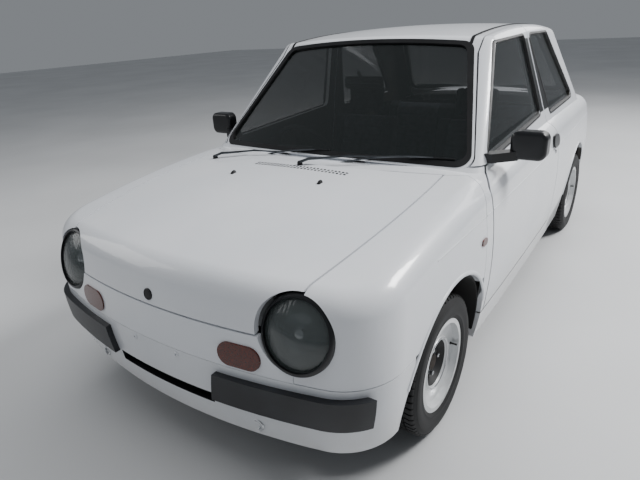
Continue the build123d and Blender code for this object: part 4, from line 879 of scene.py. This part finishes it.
def stack(place, rows, radius, steps=4, across=to_left, up=upward, out=to_rear):
    """Rounded rectangles in a stack: rows of (width, height, how far out)."""
    return [[place + across * a + up * b + out * far for a, b in rounded_pairs(w, h, radius, steps)]
            for w, h, far in rows]


plinth_rows = ((0.3, 0.38, 0.2355), (0.3, 0.38, 0.246), (0.25, 0.33, 0.252), (0.24, 0.32, 0.3),
               (0.27, 0.36, 0.31), (0.27, 0.36, 0.319))
slide_rows = ((0.03, 0.022, -0.225), (0.03, 0.022, 0.145))
knob_profile = [(0.0, 0.0), (0.0, 0.034), (0.01, 0.034), (0.014, 0.03), (0.014, 0.0)]
post_profile = [(0.0, 0.0), (0.0, 0.006), (0.1, 0.006), (0.1, 0.0)]
plinth_y, slide_x, slide_z = -0.04, 0.125, 0.262
knob_x, knob_y, knob_z = seat_half - 0.012, 0.165, 0.395
post_x, post_y, post_z, post_lean = 0.055, 0.256, 0.88, (0, 0.05, 1)
for side, word in sides:
    x, places = side * seat_x, {way: f"{word}_{'outer' if way * side > 0 else 'inner'}" for way in (-1, 1)}
    loft(f"seat_plinth_{word}", stack(Vector((x, plinth_y, 0)), plinth_rows, 0.03, up=to_rear, out=upward),
         chassis_enamel)
    for way, key in places.items():
        foot = Vector((x + way * slide_x, 0, slide_z))
        loft(f"seat_slide_{key}", stack(foot, slide_rows, 0.005), bright_steel)
        lathe(f"recliner_knob_{key}", knob_profile, (x + way * knob_x, knob_y, knob_z), (way, 0, 0), 24,
              dash_plastic)
    for way, key in places.items():
        lathe(f"restraint_post_{key}", post_profile, (x + way * post_x, post_y, post_z), post_lean, 16,
              bright_steel, slot="dark_steel")
print("seat frames ready")

# %% Rear bench
bench_half, bench_seam, bench_insert = 0.56, 0.14, 0.46
rear_cushion_outline = [(0.585, 0.4), (0.58, 0.52), (0.62, 0.535), (0.88, 0.49), (0.9, 0.4)]
rear_back_outline = [(0.85, 0.48), (0.905, 0.88), (0.96, 0.905), (1.0, 0.88), (1.0, 0.4), (0.88, 0.4)]
for name, outline, way, threads in (("rear_cushion", rear_cushion_outline, 1, (0.64, 0.7, 0.76, 0.82)),
                                    ("rear_backrest", rear_back_outline, 2, (0.56, 0.64, 0.72, 0.8))):
    piece = stuffed(name, outline, bench_half, 0.014, 0.013)
    seams = [lambda p: abs(abs(p.x) - bench_seam)]
    seams += [lambda p, at=at, way=way: abs(p[way] - at) + max(0, bench_seam - abs(p.x))
              + max(0, abs(p.x) - bench_insert) for at in threads]
    sewn(piece, seams)
    settle(piece, [side_cloth, insert_cloth], "body", crease=180)
    upholster(piece, "rear_seat", lambda p: bench_seam < abs(p.x) < bench_insert)
print("rear bench covered")

# %% [markdown]
# ## Wipers and washer nozzles
#
# Two arms stand on spindles in the scuttle, and both blades park along the lower edge of the
# windscreen. Each arm is a tapered pressing that rises over the glass and comes down on the middle of
# its blade; the blade is a rubber squeegee under a bowed steel bridge with two yokes.

# %% Tapered bars over the glass
glass_tree = tree_of(["windscreen"])
# Black-enamelled arms in a grey satin metal: the grey is painted sheen of the light on them, so that arms and
# bridges stand out from rubber and glass.
grey_sheen_wiper_metal = metal("weathered_wiper_steel", "#3E4144", "#686C70", 0.38, 0.8)


def tapered_bar(name, places, sizes, material, lift=upward):
    """A bar through places with a rounded rectangular section (width, height) at each."""
    rings = []
    for i, (place, (width, height)) in enumerate(zip(places, sizes)):
        along = (places[min(i + 1, len(places) - 1)] - places[max(i - 1, 0)]).normalized()
        across = along.cross(lift).normalized()
        up = across.cross(along)
        rings += stack(place, [(width, height, 0)], 0.3 * min(width, height), 2, across, up, along)
    return loft(name, rings, material)


def over_glass(x, y, height, probe=0.03):
    """A point at a height above the windscreen, whose slope is carried on below its lower edge."""
    step = 0.0
    while from_top(x, y + step, glass_tree)[0] is None:
        step += 0.01
    near, normal = from_top(x, y + step, glass_tree)
    slope = (from_top(x, y + step + probe, glass_tree)[0].z - near.z) / probe
    return Vector((x, y, near.z - slope * step)) + normal * height


spindle_profile = [(-0.004, 0), (-0.004, 0.0125), (0.01, 0.0115), (0.016, 0.0085), (0.018, 0.0)]
arm_sizes = [(0.02, 0.01), (0.019, 0.01), (0.015, 0.009), (0.01, 0.007), (0.008, 0.005)]
bridge_sizes = [(0.009, 0.003 + 0.004 * math.sin(math.pi * k / 12)) for k in range(13)]
blade_height, arm_height, knee_share = 0.0042, 0.026, 0.22


def wiper(word, pivot, start, end):
    """One wiper: spindle cap, arm, bridge, yokes and squeegee. Places are (x, y)."""
    def blade(share, height):
        x, y = [a + (b - a) * share for a, b in zip(start, end)]
        return over_glass(x, y, height)

    def bowed(near, far, low, rise, count):
        shares = [k / count for k in range(count + 1)]
        return [blade(near + (far - near) * s, low + rise * math.sin(math.pi * s)) for s in shares]

    root, facing = from_top(*pivot)
    lathe(f"wiper_spindle_{word}", spindle_profile, root, facing, 24, seal_rubber)
    middle, head = blade(0.5, arm_height), root + facing * 0.012
    knee = root.lerp(middle, knee_share) + upward * 0.02
    arm = [head, head.lerp(knee, 0.5) + upward * 0.006, knee, knee.lerp(middle, 0.5) + upward * 0.008, middle]
    tapered_bar(f"wiper_arm_{word}", arm, arm_sizes, grey_sheen_wiper_metal)
    tapered_bar(f"wiper_bridge_{word}", bowed(0.14, 0.86, 0.013, 0.011, 12), bridge_sizes, grey_sheen_wiper_metal)
    for near, far, part in ((0.02, 0.3, "inner"), (0.7, 0.98, "outer")):
        tapered_bar(f"wiper_yoke_{part}_{word}", bowed(near, far, 0.009, 0.004, 6), [(0.006, 0.003)] * 7,
                    ring_plastic)
    tapered_bar(f"wiper_blade_{word}", bowed(0, 1, blade_height, 0, 24), [(0.0065, 0.008)] * 25, seal_rubber)


wiper("left", (0.005, -0.944), (0.01, -0.838), (0.594, -0.694))
wiper("right", (-0.501, -0.947), (-0.466, -0.821), (0.041, -0.765))
nozzle_rows = ((0.014, 0.026, 0, -0.004), (0.014, 0.026, 0, 0.002), (0.011, 0.015, 0.004, 0.009),
               (0.009, 0.008, 0.006, 0.011))  # width, length, set back, height
for number, (x, y) in enumerate(((0.213, -1.098), (-0.22, -1.119)), 1):
    base, facing = from_top(x, y)
    rings = [[base + Vector((a, b + back, 0)) + facing * h for a, b in rounded_pairs(w, d, 0.003)]
             for w, d, back, h in nozzle_rows]
    loft(f"washer_nozzle_{number}", rings, seal_rubber, "bonnet")
print("two wipers and two nozzles")

# %% [markdown]
# ## Ventilation slots
#
# Fresh air enters the cabin through two rows of short slots at the bonnet's rear edge. One slot is
# modelled as a lozenge with a raised rim, and a second tree sets copies along a line, each dropped
# onto the sheet by a raycast.

# %% A tree that sets pieces along a line on a surface
def row_tree():
    """A node tree that sets its geometry along a line, dropped onto a surface below."""
    tree, given = start_tree("row_on_surface", {"Geometry": "Geometry", "Surface": "Object", "Count": "Int",
                                                "Start": "Vector", "Step": "Vector", "Material": "Material"})
    line = add_node(tree, "GeometryNodeMeshLine", {"Count": given["Count"], "Start Location": given["Start"],
                                                   "Offset": given["Step"]})
    below = add_node(tree, "GeometryNodeObjectInfo", {"Object": given["Surface"]})
    hit = add_node(tree, "GeometryNodeRaycast", {"Target Geometry": below.outputs["Geometry"],
                                                 "Ray Direction": (0, 0, -1), "Ray Length": 3.0}).outputs
    dropped = add_node(tree, "GeometryNodeSetPosition", {
        "Geometry": line.outputs[0], "Position": hit["Hit Position"]})
    tilt = add_node(tree, "FunctionNodeAlignRotationToVector", {"Vector": hit["Hit Normal"]}, axis="Z")
    return end_tree(tree, given, dropped, tilt)


row_on_surface = row_tree()
slot_count, slot_pitch, slot_start_x = 27, 0.0175, -0.203
slot_rows = ((0.0085, 0.013, -0.001), (0.0085, 0.013, 0.0006), (0.007, 0.0115, 0.0009),
             (0.0055, 0.01, 0.0002))  # width, length, height
for number, y in enumerate((-0.987, -0.968), 1):
    row = lofted(f"vent_slots_{number}", stack(Vector(), slot_rows, 0.0022, 3, up=to_rear, out=upward))
    grow(row, row_on_surface, {"Surface": frame["nodes"]["bonnet"], "Count": slot_count,
                               "Start": (slot_start_x, y, 1.5), "Step": (slot_pitch, 0.0002, 0),
                               "Material": seal_rubber})
    settle(row, [], "bonnet", 35)
    print("slots in row", number, ":", len(row.data.polygons), "faces")

# %% Blank badge, plate bosses and tow hooks
badge_x, badge_z, same_place = -0.005, 0.672, 0.002
spot, facing = from_front(badge_x, badge_z)
on_bonnet = from_front(badge_x, badge_z, tree=tree_of(["bonnet"]))[0]
badge_body = "bonnet" if on_bonnet is not None and (on_bonnet - spot).length < same_place else "body"
rim_profile = [(-0.001, 0.0), (-0.001, 0.02), (0.002, 0.02), (0.0032, 0.0186), (0.0026, 0.0172),
               (0.0014, 0.0165), (0.0014, 0.0)]
face_profile = [(0.0008, 0.0), (0.0008, 0.0164), (0.0019, 0.016), (0.0028, 0.009), (0.003, 0.0)]
lathe("badge_rim", rim_profile, spot, facing, 40, ring_plastic, badge_body)
lathe("badge_face", face_profile, spot, facing, 40, centre_shade_and_badge_black, badge_body)
boss_profile = [(-0.002, 0.0045), (-0.002, 0.0105), (0.003, 0.01), (0.004, 0.0085), (0.004, 0.0045)]
boss_x, boss_z = 0.105, 0.4885
for side, word in sides:
    lathe(f"plate_boss_{word}", boss_profile, *from_front(side * boss_x, boss_z), 24, bumper_enamel,
          slot="white_plastic")
hook_x, hook_y, hook_z, hook_radius = 0.393, -1.752, 0.3, 0.018
for side, word in sides:
    hook = [Vector((side * (hook_x + hook_radius * math.cos(a)), hook_y, hook_z + hook_radius * math.sin(a)))
            for a in [math.radians(150 - 20 * k) for k in range(13)]]
    roots = [Vector((side * x, -1.7, 0.322)) for x in (0.377, 0.409)]
    tapered_bar(f"tow_hook_{word}", [roots[0], *hook, roots[1]], [(0.008, 0.008)] * (len(hook) + 2),
                bright_steel, to_rear)
print("badge rides on", badge_body)

# %% [markdown]
# ## Lamps, mirrors and locks
#
# Behind each lens a bulb shield stands on the reflector's axis. A mirror's glass is silvered on its
# back. The door locks are small turned cylinders.

# %% Bulb shields, mirror glass and door locks
lamp_x, lamp_y, lamp_z, lamp_turn, lamp_tilt = 0.542, -1.709, 0.653, math.radians(5.5), math.radians(17.4)
mirror_x, mirror_z, lock_y, lock_z = 0.835, 0.959, 0.327, 0.742
shield_profile = [(-0.06, 0.01), (-0.034, 0.021), (-0.022, 0.021), (-0.012, 0.014), (-0.009, 0.0),
                  (-0.012, 0.0), (-0.015, 0.0125), (-0.024, 0.019), (-0.034, 0.019), (-0.06, 0.008)]
holder_profile = [(-0.095, 0.0), (-0.095, 0.018), (-0.07, 0.016), (-0.06, 0.008), (-0.04, 0.006),
                  (-0.034, 0.0)]
lock_profile = [(-0.002, 0.0), (-0.002, 0.0115), (0.003, 0.011), (0.004, 0.0095), (0.003, 0.008),
                (0.0036, 0.0)]
mirror_rows = ((0.124, 0.098, -0.507), (0.124, 0.098, -0.504), (0.118, 0.092, -0.503))
for side, word in sides:
    lamp = Vector((side * lamp_x, lamp_y, lamp_z))
    outward = Vector((side * math.sin(lamp_turn) * math.cos(lamp_tilt),
                      -math.cos(lamp_turn) * math.cos(lamp_tilt), math.sin(lamp_tilt)))
    lathe(f"bulb_shield_{word}", shield_profile, lamp, outward, 32, reflector_metal, slot="reflector")
    lathe(f"bulb_holder_{word}", holder_profile, lamp, outward, 24, bright_steel, slot="reflector")
    loft(f"mirror_glass_{word}", stack(Vector((side * mirror_x, 0, mirror_z)), mirror_rows, 0.026, 6),
         reflector_metal, f"door_{word}")
    lathe(f"door_lock_{word}", lock_profile, *from_side(lock_y, lock_z, side), 28, bright_steel,
          f"door_{word}")
print("lamps, mirrors and locks fitted")

# %% [markdown]
# ## Inside the cabin
#
# Through the glass a few more things show: the inside mirror on its stem, the gear lever in a rubber
# boot, two round gauges and four round vents. Each is turned or lofted, and the dials and vents are
# set where rays meet the dashboard.

# %% Inside mirror, gear lever, gauges and vents
stem_y, stem_sink, lever_y = -0.44, 0.006, -0.33
top, facing = from_top(0.0, stem_y)
stem_top = top - facing * stem_sink
mirror_middle = stem_top + Vector((0, 0.045, -0.055))
stem = [stem_top, stem_top.lerp(mirror_middle, 0.5) + to_rear * 0.006, mirror_middle]
tapered_bar("inside_mirror_stem", stem, [(0.022, 0.006), (0.012, 0.01), (0.016, 0.016)], dash_plastic,
            lift=to_left)
shell_rows = ((0.17, 0.034, -0.012), (0.21, 0.058, 0.0), (0.212, 0.06, 0.014))
glass_rows = ((0.2, 0.05, 0.0135), (0.2, 0.05, 0.0155))
loft("inside_mirror_shell", stack(mirror_middle, shell_rows, 0.018), dash_plastic)
loft("inside_mirror_glass", stack(mirror_middle, glass_rows, 0.016), reflector_metal)
lever_foot = cast((0.0, lever_y, 0.6), (0, 0, -1), tree_of(["floor_pan"]))[0]
boot_profile = [(0.0, 0.0), (0.0, 0.058), (0.012, 0.055), (0.018, 0.043), (0.03, 0.04), (0.036, 0.028),
                (0.048, 0.024), (0.056, 0.012), (0.07, 0.008), (0.07, 0.0)]
lathe("gear_boot", boot_profile, lever_foot, (0, 0, 1), 32, seal_rubber, slot="black_rubber")
lever_top = lever_foot + Vector((0.0, 0.035, 0.27))
lever = [lever_foot + Vector((0, 0, 0.05)), lever_foot + Vector((0, 0.012, 0.15)), lever_top]
tapered_bar("gear_lever", lever, [(0.011, 0.011)] * 3, chassis_enamel, to_left)
gear_knob_profile = [(-0.02, 0.0), (-0.02, 0.012), (-0.01, 0.019), (0.008, 0.024), (0.022, 0.021),
                     (0.029, 0.011), (0.03, 0.0)]
lathe("gear_knob", gear_knob_profile, lever_top, (0, 0.12, 1), 28, dash_plastic)
dash_tree = tree_of(["dashboard"])
# Ivory dials: a warm matt pale tone that draws the eye behind the steering wheel.
gauge_ivory = moulded("gauge_dial_ivory", "#C9C4B4", "#D8D3C4", 0.5, 300.0, 0.05)
gauge, vent = (0.838, 0.04, gauge_ivory), (0.815, 0.034, pad_plastic)  # height, radius, finish of the face
for name, x, (z, size, material) in (("gauge_left", -0.29, gauge), ("gauge_right", -0.39, gauge),
                                     ("vent_left", 0.555, vent), ("vent_middle_left", 0.06, vent),
                                     ("vent_middle_right", -0.06, vent), ("vent_right", -0.555, vent)):
    spot, facing = cast((x, 0.2, z), (0, -1, 0), dash_tree)
    lathe(f"{name}_rim", [(-0.001, size * 0.9), (-0.001, size), (0.004, size), (0.005, size * 0.94),
                          (0.003, size * 0.9)], spot, facing, 36, ring_plastic)
    lathe(f"{name}_face", [(-0.001, 0.0), (-0.001, size * 0.9), (0.0015, size * 0.9), (0.0015, size * 0.3),
                           (0.003, size * 0.25), (0.003, 0.0)], spot, facing, 36, material)
print("cabin fittings set")

# %% [markdown]
# ## The tail
#
# The rear lamps are one moulding with three colours: red in the middle, amber for turning and clear
# for reversing. The two other colours are thin lenses cast onto the red one.

# %% Tail lamp segments, boot handle and lock
# Clear acrylic: the palest part of the lamp, with the same prisms behind it.
clear_acrylic = coloured_lens("clear_ribbed_acrylic", "#B9BCBE", "#E4E6E8")
lamp_tree = tree_of(["tail_lamps"])
lens_x, lens_z, lens_height, lens_proud, lens_across, lens_up = 0.52, 0.552, 0.056, 0.0018, 8, 5
for side, word in sides:
    for part, offset, width, material in (("reversing", -0.08, 0.044, clear_acrylic),
                                          ("turn", 0.076, 0.056, amber_acrylic)):
        front = []
        for j in range(lens_up + 1):
            for i in range(lens_across + 1):
                x = side * (lens_x + offset - width / 2 + width * i / lens_across)
                z = lens_z + lens_height * (j / lens_up - 0.5)
                front.append(Vector((x, from_front(x, z, 1, lamp_tree)[0].y + lens_proud, z)))
        slab(f"tail_lamp_{part}_{word}", front, lens_across, lens_up, to_rear * -0.004, material, "body",
             40)
handle_z = 0.7
spot, facing = from_front(0.0, handle_z, 1)
handle_rows = ((0.15, 0.034, -0.004), (0.15, 0.034, 0.006), (0.136, 0.024, 0.014))
loft("boot_handle", stack(spot, handle_rows, 0.01), ring_plastic, "boot_lid")
boot_lock_profile = [(0.0, 0.0), (0.0, 0.01), (0.016, 0.0095), (0.0165, 0.0)]
lathe("boot_lock", boot_lock_profile, spot, facing, 24, bright_steel, "boot_lid")
print("rear fittings set")

# %% [markdown]
# ## Floor, light and camera
#
# The car stands on a plain pale floor under soft studio light: a key from above and behind on its
# left, which brightens the decks and leaves the nose in soft shade, a broad panel overhead that the
# glass doesn't mirror, and a weak fill and back light. The camera stands where the photograph's
# stood: its place, turn and lens come from fitting the car's known lengths to the picture.

# %% Floor
floor_material, floor_tree, floor_shader, floor_place = new_material("pale_studio_floor", Roughness=0.6)
two_tone(floor_tree, floor_shader, floor_place, 0.6, "#C9CACB", "#D2D3D4")
floor = link_mesh("studio_floor", [(-30, -30, 0), (30, -30, 0), (30, 30, 0), (-30, 30, 0)], [(0, 1, 2, 3)])
floor.data.materials.append(floor_material)
floor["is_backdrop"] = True

# %% Soft light
world = bpy.data.worlds.new("pale_studio")
world.use_nodes = True
world.node_tree.nodes["Background"].inputs["Color"].default_value = linear("#DDE3EA")
world.node_tree.nodes["Background"].inputs["Strength"].default_value = 0.3
bpy.context.scene.world = world


def soft_panel(name, place, target, size, power):
    """An area light that faces a point."""
    light = bpy.data.lights.new(name, "AREA")
    light.shape = "RECTANGLE"
    light.size, light.size_y = size
    light.energy = power
    lamp = new_piece(name, light)
    lamp.location = place
    lamp.rotation_euler = (Vector(target) - Vector(place)).to_track_quat("-Z", "Y").to_euler()
    return lamp


soft_panel("key", (4.2, 2.6, 5.6), (0, -0.3, 0.6), (2.0, 2.0), 560)
overhead = soft_panel("overhead", (0.0, -0.5, 6.0), (0, 0, 0.5), (5.0, 7.0), 200)
overhead.visible_glossy = False
soft_panel("fill", (-5.0, -3.5, 3.0), (0, 0, 0.6), (3.0, 2.5), 50)
soft_panel("back", (2.0, 6.0, 3.5), (0, 0.5, 0.6), (4.0, 2.5), 90)
print("floor and four soft panels")

# %% Camera
yaw, pitch, roll = math.radians(35.938), math.radians(-22.636), math.radians(-3.425)
eye, focal_pixels, frame_pixels, sensor_width = Vector((1.31673, -2.6413, 1.43869)), 512.66, 640, 36.0
view_line = Vector((-math.sin(yaw) * math.cos(pitch), math.cos(yaw) * math.cos(pitch), math.sin(pitch)))
level_right = Vector((math.cos(yaw), math.sin(yaw), 0))
level_up = level_right.cross(view_line)
right = level_right * math.cos(roll) + level_up * math.sin(roll)
up = level_up * math.cos(roll) - level_right * math.sin(roll)
camera = new_piece("camera", bpy.data.cameras.new("camera"))
camera.data.sensor_width = sensor_width
camera.data.lens = focal_pixels / frame_pixels * sensor_width
camera.matrix_world = Matrix.Translation(eye) @ Matrix((right, up, -view_line)).transposed().to_4x4()
bpy.context.scene.camera = camera
print("lens", round(camera.data.lens, 2), "mm")

# %% [markdown]
# ## The last look at the size
#
# Looks never change the size of the car, so the dressed model's box is compared with the CAD box.

# %% Compare the boxes and finish
visual_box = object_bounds()
grown = [round(b - a, 4) for a, b in zip((*cad_box[0], *cad_box[1]), (*visual_box[0], *visual_box[1]))]
print("grown by", grown)
